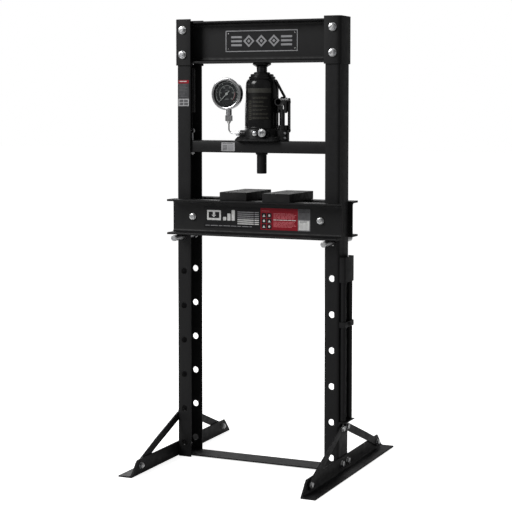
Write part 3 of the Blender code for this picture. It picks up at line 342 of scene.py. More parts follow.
PAIRED_FRAME_PARTS = ("column", "top_bracket", "foot", "front_brace", "rear_brace")
CAD_FINISHES = (
    (PAINT, 0.0007, [f"{side}_{part}" for side in SIDES for part in PAIRED_FRAME_PARTS]),
    (PAINT, 0.0007, ["top_beam", "floor_tie", "bed_front_channel", "bed_rear_channel", "crosshead",
                     "handle_holder", "handle_shelf", "pump_handle_lower_half",
                     "pump_handle_upper_half"]),
    (ENAMEL, 0.0005, ["jack_reservoir", "jack_top_nut", "ram_saddle"]),
    (CAST, 0.0006, ["jack_base", "pump_barrel", "pump_handle_socket", "pump_side_links",
                    "pump_stay"]),
    (PLATE, 0.0010, ["left_press_plate", "right_press_plate"]),
    (ZINC, 0.0004, ["left_bed_pin", "right_bed_pin", "left_spring_eyebolt",
                    "right_spring_eyebolt", "release_valve", "gauge_pipe"]),
    (STEEL, 0.0003, ["jack_cylinder"]),
    (DARK, 0.0003, ["jack_ram", "pump_plunger"]),
    (PAINT, 0.0004, ["press_pin"]),
    (CHROME, 0.0003, ["gauge_case"]),
    (RUBBER, 0.0002, ["ram_seal"]),
    (DIAL, 0.0001, ["gauge_dial"]),
    (WHITE_INK, 0.0001, ["gauge_pointer"]),
    (GLASS, 0.0001, ["gauge_lens"]),
)
for finish_material, edge_width, finish_nodes in CAD_FINISHES:
    for node_name in finish_nodes:
        soften(node_name, finish_material, edge_width)


# ---------------------------------------------------------------- mesh helpers

SHARP_ANGLE = 35


def add_piece(name, bm, materials, body):
    """Turn a bmesh into a named piece that rides on a body, or on none when no body is given."""
    bmesh.ops.recalc_face_normals(bm, faces=bm.faces)
    mesh = bpy.data.meshes.new(name)
    bm.to_mesh(mesh)
    bm.free()
    for material in materials:
        mesh.materials.append(material)
    mesh.shade_smooth()
    mesh.set_sharp_from_angle(angle=math.radians(SHARP_ANGLE))
    obj = bpy.data.objects.new(name, mesh)
    bpy.context.scene.collection.objects.link(obj)
    if body is not None:
        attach(obj, body)
    return obj


def circle(bm, radius, height, segments, place):
    """Vertices of a circle at a height along the placement's own axis."""
    turns = [2 * math.pi * step / segments for step in range(segments)]
    return [bm.verts.new(place @ Vector((radius * math.cos(turn), radius * math.sin(turn), height)))
            for turn in turns]


def lathe(bm, profile, segments, place, slot=0):
    """Turn an open (radius, height) profile that starts and ends on the axis into a closed solid."""
    rings = []
    for radius, height in profile:
        if radius < 1e-7:
            rings.append([bm.verts.new(place @ Vector((0, 0, height)))])
            continue
        rings.append(circle(bm, radius, height, segments, place))
    for upper, lower in zip(rings, rings[1:]):
        for step in range(segments):
            corner = [upper[step % len(upper)], upper[(step + 1) % len(upper)],
                      lower[(step + 1) % len(lower)], lower[step % len(lower)]]
            unique = list(dict.fromkeys(corner))
            if len(unique) > 2:
                bm.faces.new(unique).material_index = slot


def ring(bm, profile, segments, place, slot=0):
    """Turn a closed (radius, height) loop into a ring."""
    loops = [circle(bm, radius, height, segments, place) for radius, height in profile]
    for first, second in zip(loops, loops[1:] + loops[:1]):
        for step in range(segments):
            after = (step + 1) % segments
            bm.faces.new((first[step], first[after], second[after], second[step])).material_index = slot


def hex_head(bm, across, low, high, place, slot=0, both_ends=False):
    """A hexagon with the rounded chamfer that a turned cone leaves on its corners."""
    count = 36
    flat = across / 2
    inner = flat * 0.94
    slope = math.tan(math.radians(28))

    def outline(turn):
        local = (turn + math.pi / 6) % (math.pi / 3) - math.pi / 6
        return flat / math.cos(local)

    def level(height_at):
        vertices = []
        for step in range(count):
            turn = 2 * math.pi * step / count
            radius, height = height_at(outline(turn))
            corner = Vector((radius * math.cos(turn), radius * math.sin(turn), height))
            vertices.append(bm.verts.new(place @ corner))
        return vertices

    levels = []
    if both_ends:
        levels.append(level(lambda r: (inner, low)))
        levels.append(level(lambda r: (r, low + (r - inner) * slope)))
    else:
        levels.append(level(lambda r: (r, low)))
    levels.append(level(lambda r: (r, high - (r - inner) * slope)))
    levels.append(level(lambda r: (inner, high)))
    for lower, upper in zip(levels, levels[1:]):
        for step in range(count):
            after = (step + 1) % count
            bm.faces.new((lower[step], lower[after], upper[after], upper[step])).material_index = slot
    bm.faces.new(levels[0][::-1]).material_index = slot
    bm.faces.new(levels[-1]).material_index = slot


def prism(bm, outline, low, high, place, slot=0):
    """A closed plate from a flat outline between two heights; place(u, v, h) gives each point."""
    bottom = [bm.verts.new(place(u, v, low)) for u, v in outline]
    top = [bm.verts.new(place(u, v, high)) for u, v in outline]
    count = len(outline)
    for step in range(count):
        after = (step + 1) % count
        bm.faces.new((bottom[step], bottom[after], top[after], top[step])).material_index = slot
    bm.faces.new(bottom[::-1]).material_index = slot
    bm.faces.new(top).material_index = slot


def rounded_outline(u0, v0, u1, v1, radius, steps=4):
    """A rectangle with rounded corners, as a list of (u, v) points."""
    points = []
    for u, v, start in ((u1 - radius, v1 - radius, 0), (u0 + radius, v1 - radius, 90),
                        (u0 + radius, v0 + radius, 180), (u1 - radius, v0 + radius, 270)):
        for step in range(steps + 1):
            turn = math.radians(start + 90 * step / steps)
            points.append((u + radius * math.cos(turn), v + radius * math.sin(turn)))
    return points


def bar(bm, u0, v0, u1, v1, low, high, place, slot=0, steps=1):
    """A rectangle of print, cut into steps along u so that it can follow a curved face."""
    columns = [u0 + (u1 - u0) * step / steps for step in range(steps + 1)]
    outline = [(u, v0) for u in columns] + [(u, v1) for u in reversed(columns)]
    if steps == 1:
        prism(bm, outline, low, high, place, slot)
        return
    edges = ((v0, low), (v1, low), (v1, high), (v0, high))
    grid = [[bm.verts.new(place(u, v, h)) for u in columns] for v, h in edges]
    for row, after in zip(grid, grid[1:] + grid[:1]):
        for step in range(steps):
            bm.faces.new((row[step], row[step + 1], after[step + 1], after[step])).material_index = slot
    bm.faces.new([row[0] for row in grid]).material_index = slot
    bm.faces.new([row[-1] for row in reversed(grid)]).material_index = slot


def facing(origin, across, up):
    """Placement on a flat face: u along across, v along up, height along the outward normal."""
    origin, across, up = Vector(origin), Vector(across), Vector(up)
    normal = across.cross(up)
    return lambda u, v, h: origin + across * u + up * v + normal * h


def pointing(origin, direction, spin=0.0):
    """A matrix whose +Z runs along a direction."""
    turn = Vector(direction).to_track_quat("Z", "Y").to_matrix().to_4x4()
    return Matrix.Translation(Vector(origin)) @ turn @ Matrix.Rotation(math.radians(spin), 4, "Z")


# ---------------------------------------------------------------- fasteners

M14 = {"across": 0.0210, "head": 0.0088, "shank": 0.0070, "washer": 0.0140}
M12 = {"across": 0.0190, "head": 0.0075, "shank": 0.0060, "washer": 0.0120}
M10 = {"across": 0.0170, "head": 0.0064, "shank": 0.0050, "washer": 0.0105}
WASHER_THICKNESS = 0.0014
THREAD_PITCH = 0.0015


def thread_profile(radius, start, end):
    """Sawtooth outline of a threaded shank from height start down to end."""
    points = []
    height = start
    while height - THREAD_PITCH > end:
        points += [(radius, height), (radius * 0.88, height - THREAD_PITCH * 0.5)]
        height -= THREAD_PITCH
    points += [(radius, height), (radius * 0.85, end), (0.0, end)]
    return points


def bolt(name, size, grip, origin, direction, body, replaced=None, spin=0.0, spacer=None):
    """Bolt, two washers and nut; origin is on the face under the head's washer.

    A spacer is a tube round the shank, given as its radius and half its length.
    """
    bm = bmesh.new()
    place = pointing(origin, direction, spin)
    shank, washer = size["shank"], size["washer"]
    nut_height = size["head"] * 1.15
    for low in (0.0, -grip - WASHER_THICKNESS):
        high = low + WASHER_THICKNESS
        ring(bm, [(shank + 0.0002, low), (shank + 0.0002, high), (washer - 0.0003, high),
                  (washer, high - 0.0003), (washer, low + 0.0003), (washer - 0.0003, low)], 40, place)
    head_top = WASHER_THICKNESS + size["head"]
    hex_head(bm, size["across"], WASHER_THICKNESS, head_top, place)
    lathe(bm, [(0, head_top + 0.0002), (size["across"] * 0.30, head_top + 0.0002),
               (size["across"] * 0.33, head_top - 0.0004), (0, head_top - 0.0004)], 32, place)
    nut_top = -grip - WASHER_THICKNESS
    hex_head(bm, size["across"], nut_top - nut_height, nut_top, place, both_ends=True)
    end = nut_top - nut_height - 0.0035
    lathe(bm, [(0, WASHER_THICKNESS), (shank - 0.0001, WASHER_THICKNESS), (shank - 0.0001, -grip * 0.6)]
          + thread_profile(shank, -grip * 0.6 - 0.0002, end), 24, place)
    if spacer is not None:
        radius, half = spacer
        ring(bm, [(radius, -grip / 2 + half), (radius, -grip / 2 - half),
                  (shank + 0.0002, -grip / 2 - half), (shank + 0.0002, -grip / 2 + half)], 32, place)
    piece = add_piece(name, bm, [ZINC], body)
    if replaced is not None:
        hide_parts(replaced)


def centre(node):
    """The middle of a CAD node's box."""
    low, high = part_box(node)
    return (low + high) / 2


def side_faces(node, sign):
    """The x of a node's inner and outer face, as seen from the middle of the press."""
    low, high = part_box(node)
    return (low.x, high.x) if sign > 0 else (high.x, low.x)


STEEL_WALL = 0.005
BED_WEB = 0.006
CLEARANCE = 0.0003
FOOT_BOLT_Y = 0.0266
FOOT_BOLT_Z = 0.0278


def build_bracket_bolts(side, sign):
    """Two bolts through bracket, column and beam, front to rear."""
    low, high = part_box(f"{side}_top_bracket")
    for level in ("lower", "upper"):
        node = f"{side}_bracket_bolt_{level}"
        middle = centre(node)
        bolt(node + "_detailed", M14, high.y - low.y, (middle.x, low.y, middle.z), (0, -1, 0),
             "frame", node, spin=11 + 17 * sign)


def build_brace_bolts(side, sign):
    """Each brace is bolted to the column at its upper end and to the foot at its lower end."""
    _, column_outer = side_faces(f"{side}_column", sign)
    for end in ("front", "rear"):
        brace_inner, brace_outer = side_faces(f"{side}_{end}_brace", sign)
        upper_end = ("upper", brace_inner + sign * STEEL_WALL, column_outer - sign * STEEL_WALL, 23)
        lower_end = ("lower", brace_outer, column_outer + sign * CLEARANCE, 8)
        for level, face, inner, spin in (upper_end, lower_end):
            node = f"{side}_{end}_brace_{level}_bolt"
            middle = centre(node)
            bolt(node + "_detailed", M10, abs(face - inner), (face, middle.y, middle.z),
                 (sign, 0, 0), "frame", node, spin=spin)


def build_tie_bolt(side, sign):
    """Bolt with a spacer tube between the two bed channels."""
    node = f"{side}_bed_tie_bolt"
    middle = centre(node)
    channel_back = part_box("bed_front_channel")[1].y
    web_face = channel_back - BED_WEB
    bolt(node + "_detailed", M12, 2 * abs(web_face), (middle.x, web_face, middle.z), (0, -1, 0),
         "bed", node, spin=19 * sign, spacer=(0.011, abs(channel_back) - CLEARANCE))


def build_foot_bolts(side, sign):
    """Two bolts hold each foot to its column."""
    _, column_outer = side_faces(f"{side}_column", sign)
    face = column_outer + sign * (STEEL_WALL + CLEARANCE)
    for end, y, spin in (("front", -FOOT_BOLT_Y, 14), ("rear", FOOT_BOLT_Y, 31)):
        bolt(f"{side}_foot_{end}_bolt", M12, 2 * STEEL_WALL + CLEARANCE, (face, y, FOOT_BOLT_Z),
             (sign, 0, 0), "frame", spin=spin)


for bolt_side, bolt_sign in SIDES.items():
    build_bracket_bolts(bolt_side, bolt_sign)
    build_brace_bolts(bolt_side, bolt_sign)
    build_tie_bolt(bolt_side, bolt_sign)
    build_foot_bolts(bolt_side, bolt_sign)


# ---------------------------------------------------------------- return springs

def tube_along(bm, points, radius, sides=8):
    """A closed round wire through a list of points."""
    rings = []
    normal = None
    for index, point in enumerate(points):
        ahead = points[min(index + 1, len(points) - 1)] - points[max(index - 1, 0)]
        tangent = ahead.normalized()
        if normal is None:
            normal = tangent.orthogonal().normalized()
        normal = (normal - tangent * normal.dot(tangent)).normalized()
        side = tangent.cross(normal)
        turns = [2 * math.pi * step / sides for step in range(sides)]
        rings.append([bm.verts.new(point + (normal * math.cos(turn) + side * math.sin(turn)) * radius)
                      for turn in turns])
    for first, second in zip(rings, rings[1:]):
        for step in range(sides):
            after = (step + 1) % sides
            bm.faces.new((first[step], first[after], second[after], second[step]))
    bm.faces.new(rings[0][::-1])
    bm.faces.new(rings[-1])


def arc_points(x, middle_z, radius, degrees):
    """Points of a hook in an upright plane from front to rear, at the given angles."""
    points = []
    for angle in degrees:
        turn = math.radians(angle)
        points.append(Vector((x, radius * math.cos(turn), middle_z + radius * math.sin(turn))))
    return points


SPRING_WIRE = 0.00135
COIL_RADIUS = 0.0095
COIL_LENGTH = 0.155
COIL_TURNS = 44
STEPS_PER_TURN = 12
EASE_STEPS = 8


def coil_points(x, top):
    """The close-wound part, narrowed at both ends where it turns into the hooks."""
    total = COIL_TURNS * STEPS_PER_TURN
    points = []
    for step in range(total + 1):
        turn = 2 * math.pi * step / STEPS_PER_TURN - math.pi / 2
        grow = min(1.0, step / EASE_STEPS, (total - step) / EASE_STEPS)
        radius = COIL_RADIUS * max(grow, 0.35)
        points.append(Vector((x + radius * math.cos(turn), radius * math.sin(turn),
                              top - COIL_LENGTH * step / total)))
    return points


def build_spring(side):
    """Close-wound extension spring: a hook at the top, a long hook into the eyebolt below."""
    node = f"{side}_return_spring"
    x = centre(node).x
    coil_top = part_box(node)[1].z - 0.013
    coil_bottom = coil_top - COIL_LENGTH
    eye_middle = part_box(f"{side}_spring_eyebolt")[1].z - 0.0036
    points = arc_points(x, coil_top + 0.0075, 0.0055, range(0, 241, 24))
    points += coil_points(x, coil_top)
    points.append(Vector((x, -0.0030, coil_bottom - 0.004)))
    points.append(Vector((x, 0.0, coil_bottom - 0.010)))
    points.append(Vector((x, 0.0, eye_middle + 0.010)))
    points += arc_points(x, eye_middle, 0.0048, [80 - 31.25 * step for step in range(9)])
    bm = bmesh.new()
    tube_along(bm, points, SPRING_WIRE)
    piece = add_piece(f"{side}_return_spring_coil", bm, [DARK], None)
    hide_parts(node)
    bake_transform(piece)


def build_spring_anchor(side):
    """Washer under the beam, and the ring that the spring's upper hook hangs in."""
    node = f"{side}_return_spring"
    x = centre(node).x
    ring_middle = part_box(node)[1].z + 0.0005
    beam_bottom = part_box("top_beam")[0].z
    bm = bmesh.new()
    loop = [Vector((x + 0.0050 * math.cos(math.radians(angle)), 0.0,
                    ring_middle + 0.0050 * math.sin(math.radians(angle))))
            for angle in range(-250, 71, 20)]
    tube_along(bm, loop, 0.0016)
    lathe(bm, [(0, beam_bottom + 0.0002), (0.0055, beam_bottom + 0.0002),
               (0.0055, beam_bottom - 0.0012), (0, beam_bottom - 0.0012)],
          24, Matrix.Translation((x, 0, 0)))
    add_piece(f"{side}_spring_anchor", bm, [ZINC], "frame")


for spring_side in SIDES:
    build_spring(spring_side)
    build_spring_anchor(spring_side)


# ---------------------------------------------------------------- labels and plates

SHEET = 0.00015
INK = 0.00028
PRINT = 0.0001


def text_rows(bm, rng, area, rows, place, slot, low=SHEET, high=INK, steps=1, fill=0.5, ragged=0.25):
    """Rows of short bars that stand for printed lines, with no lettering."""
    u0, v0, u1, v1 = area
    pitch = (v1 - v0) / rows
    for row in range(rows):
        top = v1 - row * pitch
        u = u0
        end = u1 - (u1 - u0) * ragged * rng.random()
        while u < end - 0.001:
            word = min(end, u + (u1 - u0) * rng.uniform(0.07, 0.20))
            bar(bm, u, top - pitch * fill, word, top, low, high, place, slot, steps)
            u = word + (u1 - u0) * 0.02


NAME_PLATE_PLACE = (0, -0.0031, 1.434)
NAME_PLATE_HALF = (0.1325, 0.036)
NAME_PLATE_BORDER = 0.0030
NAME_PLATE_SHEET = 0.0008


def add_plate_border(bm, place):
    """Raised strips along the four edges; the upright ones are a hair lower, so none coincide."""
    half_u, half_v = NAME_PLATE_HALF
    strips = ((-half_u, half_v - NAME_PLATE_BORDER, half_u, half_v, 0.0018),
              (-half_u, -half_v, half_u, -half_v + NAME_PLATE_BORDER, 0.0018),
              (-half_u, -half_v, -half_u + NAME_PLATE_BORDER, half_v, 0.0017),
              (half_u - NAME_PLATE_BORDER, -half_v, half_u, half_v, 0.0017))
    for u0, v0, u1, v1, top in strips:
        prism(bm, rounded_outline(u0, v0, u1, v1, 0.0014), 0.0006, top, place, 1)


def add_plate_rivets(bm, place):
    """A domed rivet in each corner."""
    inset = 0.010
    reach_u = NAME_PLATE_HALF[0] - inset
    reach_v = NAME_PLATE_HALF[1] - inset
    for sign_u in (-1, 1):
        for sign_v in (-1, 1):
            corner = place(sign_u * reach_u, sign_v * reach_v, 0.0006)
            dome = [(0, 0.0016), (0.0008, 0.0015), (0.0016, 0.0010), (0.0019, 0.0), (0, 0.0)]
            lathe(bm, dome, 20, pointing(corner, (0, -1, 0)), 2)


def add_plate_motif(bm, place):
    """Three nested diamonds between two groups of three bars."""
    for offset in (-0.046, 0.0, 0.046):
        for size, top, slot in ((0.0205, 0.0014, 1), (0.0125, 0.0016, 0), (0.0060, 0.0018, 1)):
            corners = [(offset + size, 0), (offset, size), (offset - size, 0), (offset, -size)]
            prism(bm, corners, 0.0006, top, place, slot)
    for sign in (-1, 1):
        start, end = sorted((sign * 0.072, sign * 0.112))
        for v in (-0.0135, 0.0, 0.0135):
            prism(bm, rounded_outline(start, v - 0.0034, end, v + 0.0034, 0.0015), 0.0006, 0.0014, place, 1)


def build_name_plate():
    """Plate without a name on the beam's web: border, corner rivets and a plain motif."""
    place = facing(NAME_PLATE_PLACE, (1, 0, 0), (0, 0, 1))
    half_u, half_v = NAME_PLATE_HALF
    bm = bmesh.new()
    prism(bm, rounded_outline(-half_u, -half_v, half_u, half_v, 0.005), 0.0, NAME_PLATE_SHEET, place, 0)
    add_plate_border(bm, place)
    add_plate_rivets(bm, place)
    add_plate_motif(bm, place)
    add_piece("beam_name_plate", bm, [DARK_INK, FRAME_FOIL, ZINC], "frame")


BED_LABEL_HALF = 0.0365


def add_press_pictogram(bm, place):
    """A press in outline, with an arrow down."""
    bars = ((-0.180, -0.010, -0.174, 0.024), (-0.134, -0.010, -0.128, 0.024),
            (-0.174, 0.018, -0.134, 0.024), (-0.174, -0.010, -0.134, -0.003),
            (-0.158, 0.006, -0.150, 0.018))
    for u0, v0, u1, v1 in bars:
        bar(bm, u0, v0, u1, v1, SHEET, INK, place, 1)
    prism(bm, [(-0.1635, 0.0075), (-0.1545, 0.0000), (-0.1455, 0.0075)], SHEET, INK, place, 1)


def add_rising_bars(bm, place):
    """Three columns of growing height beside the pictogram."""
    for step, u0 in enumerate((-0.120, -0.104, -0.088)):
        rise = 0.012 * (step + 1)
        prism(bm, rounded_outline(u0, -0.010, u0 + 0.012, -0.010 + rise, 0.002), SHEET, INK, place, 1)


def add_blank_table(bm, place):
    """Seven rows of a table with a wide and a narrow column."""
    for row in range(7):
        v = 0.022 - row * 0.0066
        ink = 2 if row < 4 else 1
        bar(bm, -0.066, v - 0.0034, -0.006, v, SHEET, INK, place, ink)
        bar(bm, -0.003, v - 0.0034, 0.013, v, SHEET, INK, place, ink)


def add_symbol_grid(bm, place):
    """Six dark fields that hold a triangle or a rounded shape in turn."""
    for row in range(3):
        for column in range(2):
            u = 0.023 + column * 0.0195
            v = 0.020 - row * 0.0185
            prism(bm, rounded_outline(u, v - 0.0165, u + 0.0170, v, 0.0015), SHEET, INK, place, 0)
            if (row + column) % 2:
                shape = rounded_outline(u + 0.005, v - 0.012, u + 0.012, v - 0.0045, 0.0025)
            else:
                shape = [(u + 0.0085, v - 0.0040), (u + 0.0035, v - 0.0125), (u + 0.0135, v - 0.0125)]
            prism(bm, shape, INK, INK + PRINT, place, 1)


def build_bed_label():
    """Long printed film on the bed's front web: pictogram, table, red panel and grey panel."""
    low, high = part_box("bed_front_channel")
    place = facing((0, high.y - BED_WEB - PRINT, (low.z + high.z) / 2), (1, 0, 0), (0, 0, 1))
    rng = random.Random(7)
    bm = bmesh.new()
    half = BED_LABEL_HALF
    bar(bm, -0.192, -half, 0.019, half, 0.0, SHEET, place, 0)
    add_press_pictogram(bm, place)
    add_rising_bars(bm, place)
    add_blank_table(bm, place)
    text_rows(bm, rng, (-0.186, -0.0305, -0.010, -0.0270), 1, place, 2, ragged=0.05, fill=0.7)
    bar(bm, 0.019, -half, 0.154, half, 0.0, SHEET, place, 3)
    add_symbol_grid(bm, place)
    text_rows(bm, rng, (0.023, 0.0245, 0.055, 0.0275), 1, place, 4)
    text_rows(bm, rng, (0.066, 0.000, 0.150, 0.020), 5, place, 4, ragged=0.15)
    text_rows(bm, rng, (0.066, -0.006, 0.150, -0.001), 1, place, 1, ragged=0.05)
    text_rows(bm, rng, (0.066, -0.028, 0.150, -0.008), 5, place, 4, ragged=0.25)
    bar(bm, 0.154, 0.001, 0.198, half, 0.0, SHEET, place, 5)
    bar(bm, 0.154, -half, 0.198, 0.001, 0.0, SHEET, place, 2)
    bar(bm, 0.157, -0.0335, 0.195, -0.0020, SHEET, INK, place, 1)
    text_rows(bm, rng, (0.158, 0.022, 0.194, 0.032), 2, place, 6, ragged=0.1)
    text_rows(bm, rng, (0.161, -0.010, 0.191, -0.004), 2, place, 2, low=INK, high=INK + PRINT)
    inks = [DARK_INK, WHITE_INK, GREY_INK, RED_INK, PINK_INK, SHADE_INK, SLATE_INK]
    add_piece("bed_information_label", bm, inks, "bed")


def build_column_label():
    """Three stacked stickers on the front of the left column: red strip, dark panel, foil panel."""
    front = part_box("left_column")[0].y
    place = facing((-0.272, front - PRINT, 0), (1, 0, 0), (0, 0, 1))
    rng = random.Random(11)
    bm = bmesh.new()
    half = 0.0200
    bar(bm, -half, 1.2915, half, 1.3030, 0.0, SHEET, place, 0)
    bar(bm, -half, 1.2395, half, 1.2910, 0.0, SHEET, place, 1)
    bar(bm, -half, 1.2140, half, 1.2390, 0.0, SHEET, place, 2)
    text_rows(bm, rng, (-0.015, 1.2945, 0.015, 1.3000), 1, place, 3)
    text_rows(bm, rng, (-0.017, 1.2440, 0.017, 1.2880), 9, place, 4, ragged=0.35)
    for row in range(2):
        for column in range(2):
            u = -0.016 + column * 0.0175
            v = 1.2360 - row * 0.0105
            bar(bm, u, v - 0.0085, u + 0.0150, v, SHEET, INK, place, 4)
    inks = [RED_INK, SLATE_INK, FOIL, WHITE_INK, SHADE_INK]
    add_piece("column_information_label", bm, inks, "frame")


def build_crosshead_label():
    """Foil data plate on the crosshead's front face, with blank fields."""
    low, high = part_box("crosshead")
    place = facing((-0.108, low.y - PRINT, (low.z + high.z) / 2), (1, 0, 0), (0, 0, 1))
    rng = random.Random(5)
    bm = bmesh.new()
    prism(bm, rounded_outline(-0.025, -0.0150, 0.025, 0.0145, 0.002), 0.0, 0.0005, place, 0)
    text_rows(bm, rng, (-0.020, 0.0075, 0.020, 0.0115), 1, place, 1, 0.0005, 0.0006, ragged=0.1)
    for row in range(4):
        v = 0.0045 - row * 0.0045
        bar(bm, -0.020, v - 0.0028, -0.003, v, 0.0005, 0.0006, place, 1)
        bar(bm, 0.000, v - 0.0028, 0.020, v, 0.0005, 0.0006, place, 2)
    add_piece("crosshead_data_plate", bm, [FOIL, SHADE_INK, GREY_INK], "crosshead")


def around_jack(radius):
    """Placement on the reservoir: u is arc length from its front line, v is height."""
    def place(u, v, h):
        turn = u / radius - math.pi / 2
        return Vector(((radius + h) * math.cos(turn), (radius + h) * math.sin(turn), v))
    return place


def build_jack_label():
    """Dark wrap-round label on the reservoir: a lighter band over rows with small fields."""
    low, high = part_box("jack_reservoir")
    place = around_jack((high.y - low.y) / 2 + PRINT)
    rng = random.Random(3)
    bm = bmesh.new()
    left, right = -0.032, 0.056
    bar(bm, left, 1.1680, right, 1.2580, 0.0, SHEET, place, 0, steps=20)
    bar(bm, left, 1.2590, right, 1.2740, 0.0, SHEET, place, 1, steps=20)
    text_rows(bm, rng, (0.000, 1.2630, 0.026, 1.2700), 1, place, 2, steps=3, ragged=0.1)
    for row in range(6):
        v = 1.2460 - row * 0.0135
        if row:
            bar(bm, -0.026, v - 0.0105, -0.014, v, SHEET, INK, place, 2, steps=3)
            bar(bm, -0.0235, v - 0.0080, -0.0165, v - 0.0025, INK, INK + PRINT, place, 0, steps=2)
        text_rows(bm, rng, (-0.009, v - 0.0085, 0.048, v - 0.0010), 2, place, 2, steps=3, ragged=0.45)
    add_piece("jack_information_label", bm, [JACK_LABEL, JACK_BAND, JACK_LINE], "crosshead")


build_name_plate()
build_bed_label()
build_column_label()
build_crosshead_label()
build_jack_label()


# ---------------------------------------------------------------- gauge markings

FIRST_MARK = 225.0
SWEEP = 270.0
MARK_LOW = 0.0001
MARK_HIGH = 0.0003
NUMBER_RADIUS = 0.0226


def polar(radius, degrees):
    turn = math.radians(degrees)
    return radius * math.cos(turn), radius * math.sin(turn)


def dial_place():
    """Placement on the dial's front face, round its middle."""
    middle = centre("gauge_dial")
    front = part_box("gauge_dial")[0].y
    return facing((middle.x, front, middle.z), (1, 0, 0), (0, 0, 1))


def add_arc(bm, place, inner, outer, start, end, slot, steps=60):
    for step in range(steps):
        a = start + (end - start) * step / steps
        b = start + (end - start) * (step + 1) / steps
        corners = [polar(inner, a), polar(outer, a), polar(outer, b), polar(inner, b)]
        prism(bm, corners, MARK_LOW, MARK_HIGH, place, slot)


def add_ticks(bm, place):
    """Fifty divisions, with every tenth one longer and wider."""
    for step in range(51):
        inner, half = (0.0345, 0.00060) if step % 10 == 0 else (0.0385, 0.00034)
        axis = Vector(polar(1.0, FIRST_MARK - SWEEP * step / 50))
        across = Vector((-axis.y, axis.x)) * half
        near, far = axis * inner, axis * 0.0405
        corners = [near + across, far + across, far - across, near - across]
        prism(bm, [(corner.x, corner.y) for corner in corners], MARK_LOW, MARK_HIGH, place, 0)


def build_gauge_scale():
    """Arcs, ticks and three plain bars printed on the dial, clockwise from lower left."""
    place = dial_place()
    last_mark = FIRST_MARK - SWEEP
    bm = bmesh.new()
    add_arc(bm, place, 0.0272, 0.0282, FIRST_MARK, last_mark, 0)
    add_arc(bm, place, 0.0405, 0.0412, FIRST_MARK, last_mark, 0)
    add_arc(bm, place, 0.0288, 0.0302, FIRST_MARK - SWEEP * 0.8, last_mark, 1, steps=16)
    add_ticks(bm, place)
    for v, half_u in ((0.0125, 0.0065), (-0.0165, 0.0060), (-0.0190, 0.0085)):
        bar(bm, -half_u, v - 0.0010, half_u, v + 0.0006, MARK_LOW, MARK_HIGH, place, 2)
    add_piece("gauge_scale", bm, [WHITE_INK, RED_INK, GREY_INK], "crosshead")


def build_gauge_numbers():
    """The numbers 0 to 25 in fives, beside the long ticks."""
    place = dial_place()
    for step in range(6):
        curve = bpy.data.curves.new(f"gauge_number_{step}", "FONT")
        curve.body = str(step * 5)
        curve.size = 0.0068
        curve.extrude = 0.0001
        curve.align_x = "CENTER"
        curve.align_y = "CENTER"
        curve.materials.append(WHITE_INK)
        number = bpy.data.objects.new(f"gauge_number_{step}", curve)
        bpy.context.scene.collection.objects.link(number)
        number.location = place(*polar(NUMBER_RADIUS, FIRST_MARK - SWEEP * step / 5), 0.0002)
        number.rotation_euler = (math.pi / 2, 0, 0)
        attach(number, "crosshead")


def build_pointer_cap():
    """Round cap over the pointer's hub."""
    axis = centre("gauge_case")
    pointer_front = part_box("gauge_pointer")[0].y
    place = pointing((axis.x, pointer_front, axis.z), (0, -1, 0))
    bm = bmesh.new()
    lathe(bm, [(0, 0.0009), (0.0020, 0.0008), (0.0034, 0.0004), (0.0038, -0.0004), (0, -0.0004)], 28, place)
    add_piece("gauge_pointer_cap", bm, [WHITE_INK], "pointer")


build_gauge_scale()
build_gauge_numbers()
build_pointer_cap()


# ---------------------------------------------------------------- jack and pump details

OVERLOAD_PLUG_X = 0.0035
OVERLOAD_PLUG_Z = 1.1225
PUMP_BOSS_RADIUS = 0.0215
PUMP_PLUG_HEIGHTS = {"inlet": 1.1240, "outlet": 1.1075}
FILLER_PLUG_Z = 1.2500
LINK_PIN_RADIUS = 0.0040
STAY_PIN_RADIUS = 0.0030
FULCRUM_Y = 0.024


def build_plug(name, origin, direction, across):
    """Hexagon plug on a round flange, with a turned disc on its head."""
    flange = 0.0030
    top = 0.0026 + across * 0.42
    bm = bmesh.new()
    place = pointing(origin, direction, 12)
    lathe(bm, [(0, flange), (across * 0.60, flange), (across * 0.64, 0.0022), (across * 0.64, -0.0010),
               (0, -0.0010)], 36, place)
    hex_head(bm, across, 0.0026, top, place)
    lathe(bm, [(0, top + 0.0006), (across * 0.20, top + 0.0006), (across * 0.26, top - 0.0002),
               (0, top - 0.0002)], 24, place)
    add_piece(name, bm, [ZINC], "crosshead")


def build_plugs():
    """Overload plug on its boss at the front, and two small plugs on the pump's boss."""
    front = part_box("jack_base")[0].y
    overload = (OVERLOAD_PLUG_X, front + CLEARANCE, OVERLOAD_PLUG_Z)
    build_plug("overload_valve_plug", overload, (0, -1, 0), 0.0125)
    pump_x = centre("pump_plunger").x
    reach = PUMP_BOSS_RADIUS / math.sqrt(2)
    for end, z in PUMP_PLUG_HEIGHTS.items():
        build_plug(f"pump_{end}_plug", (pump_x + reach, -reach, z), (1, -1, 0), 0.0065)


def reservoir_radius():
    low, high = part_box("jack_reservoir")
    return (high.y - low.y) / 2


def build_reservoir_bead():
    """Rolled bead at the reservoir's foot."""
    radius = reservoir_radius()
    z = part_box("jack_reservoir")[0].z + 0.0025
    half = 0.0022
    profile = []
    for step in range(9):
        turn = math.pi * step / 8 - math.pi / 2
        profile.append((radius - 0.0001 + 0.0012 * math.cos(turn), z + half * math.sin(turn)))
    profile += [(radius - 0.0006, z + half), (radius - 0.0006, z - half)]
    bm = bmesh.new()
    ring(bm, profile, 64, Matrix.Identity(4))
    add_piece("reservoir_bead", bm, [ENAMEL], "crosshead")


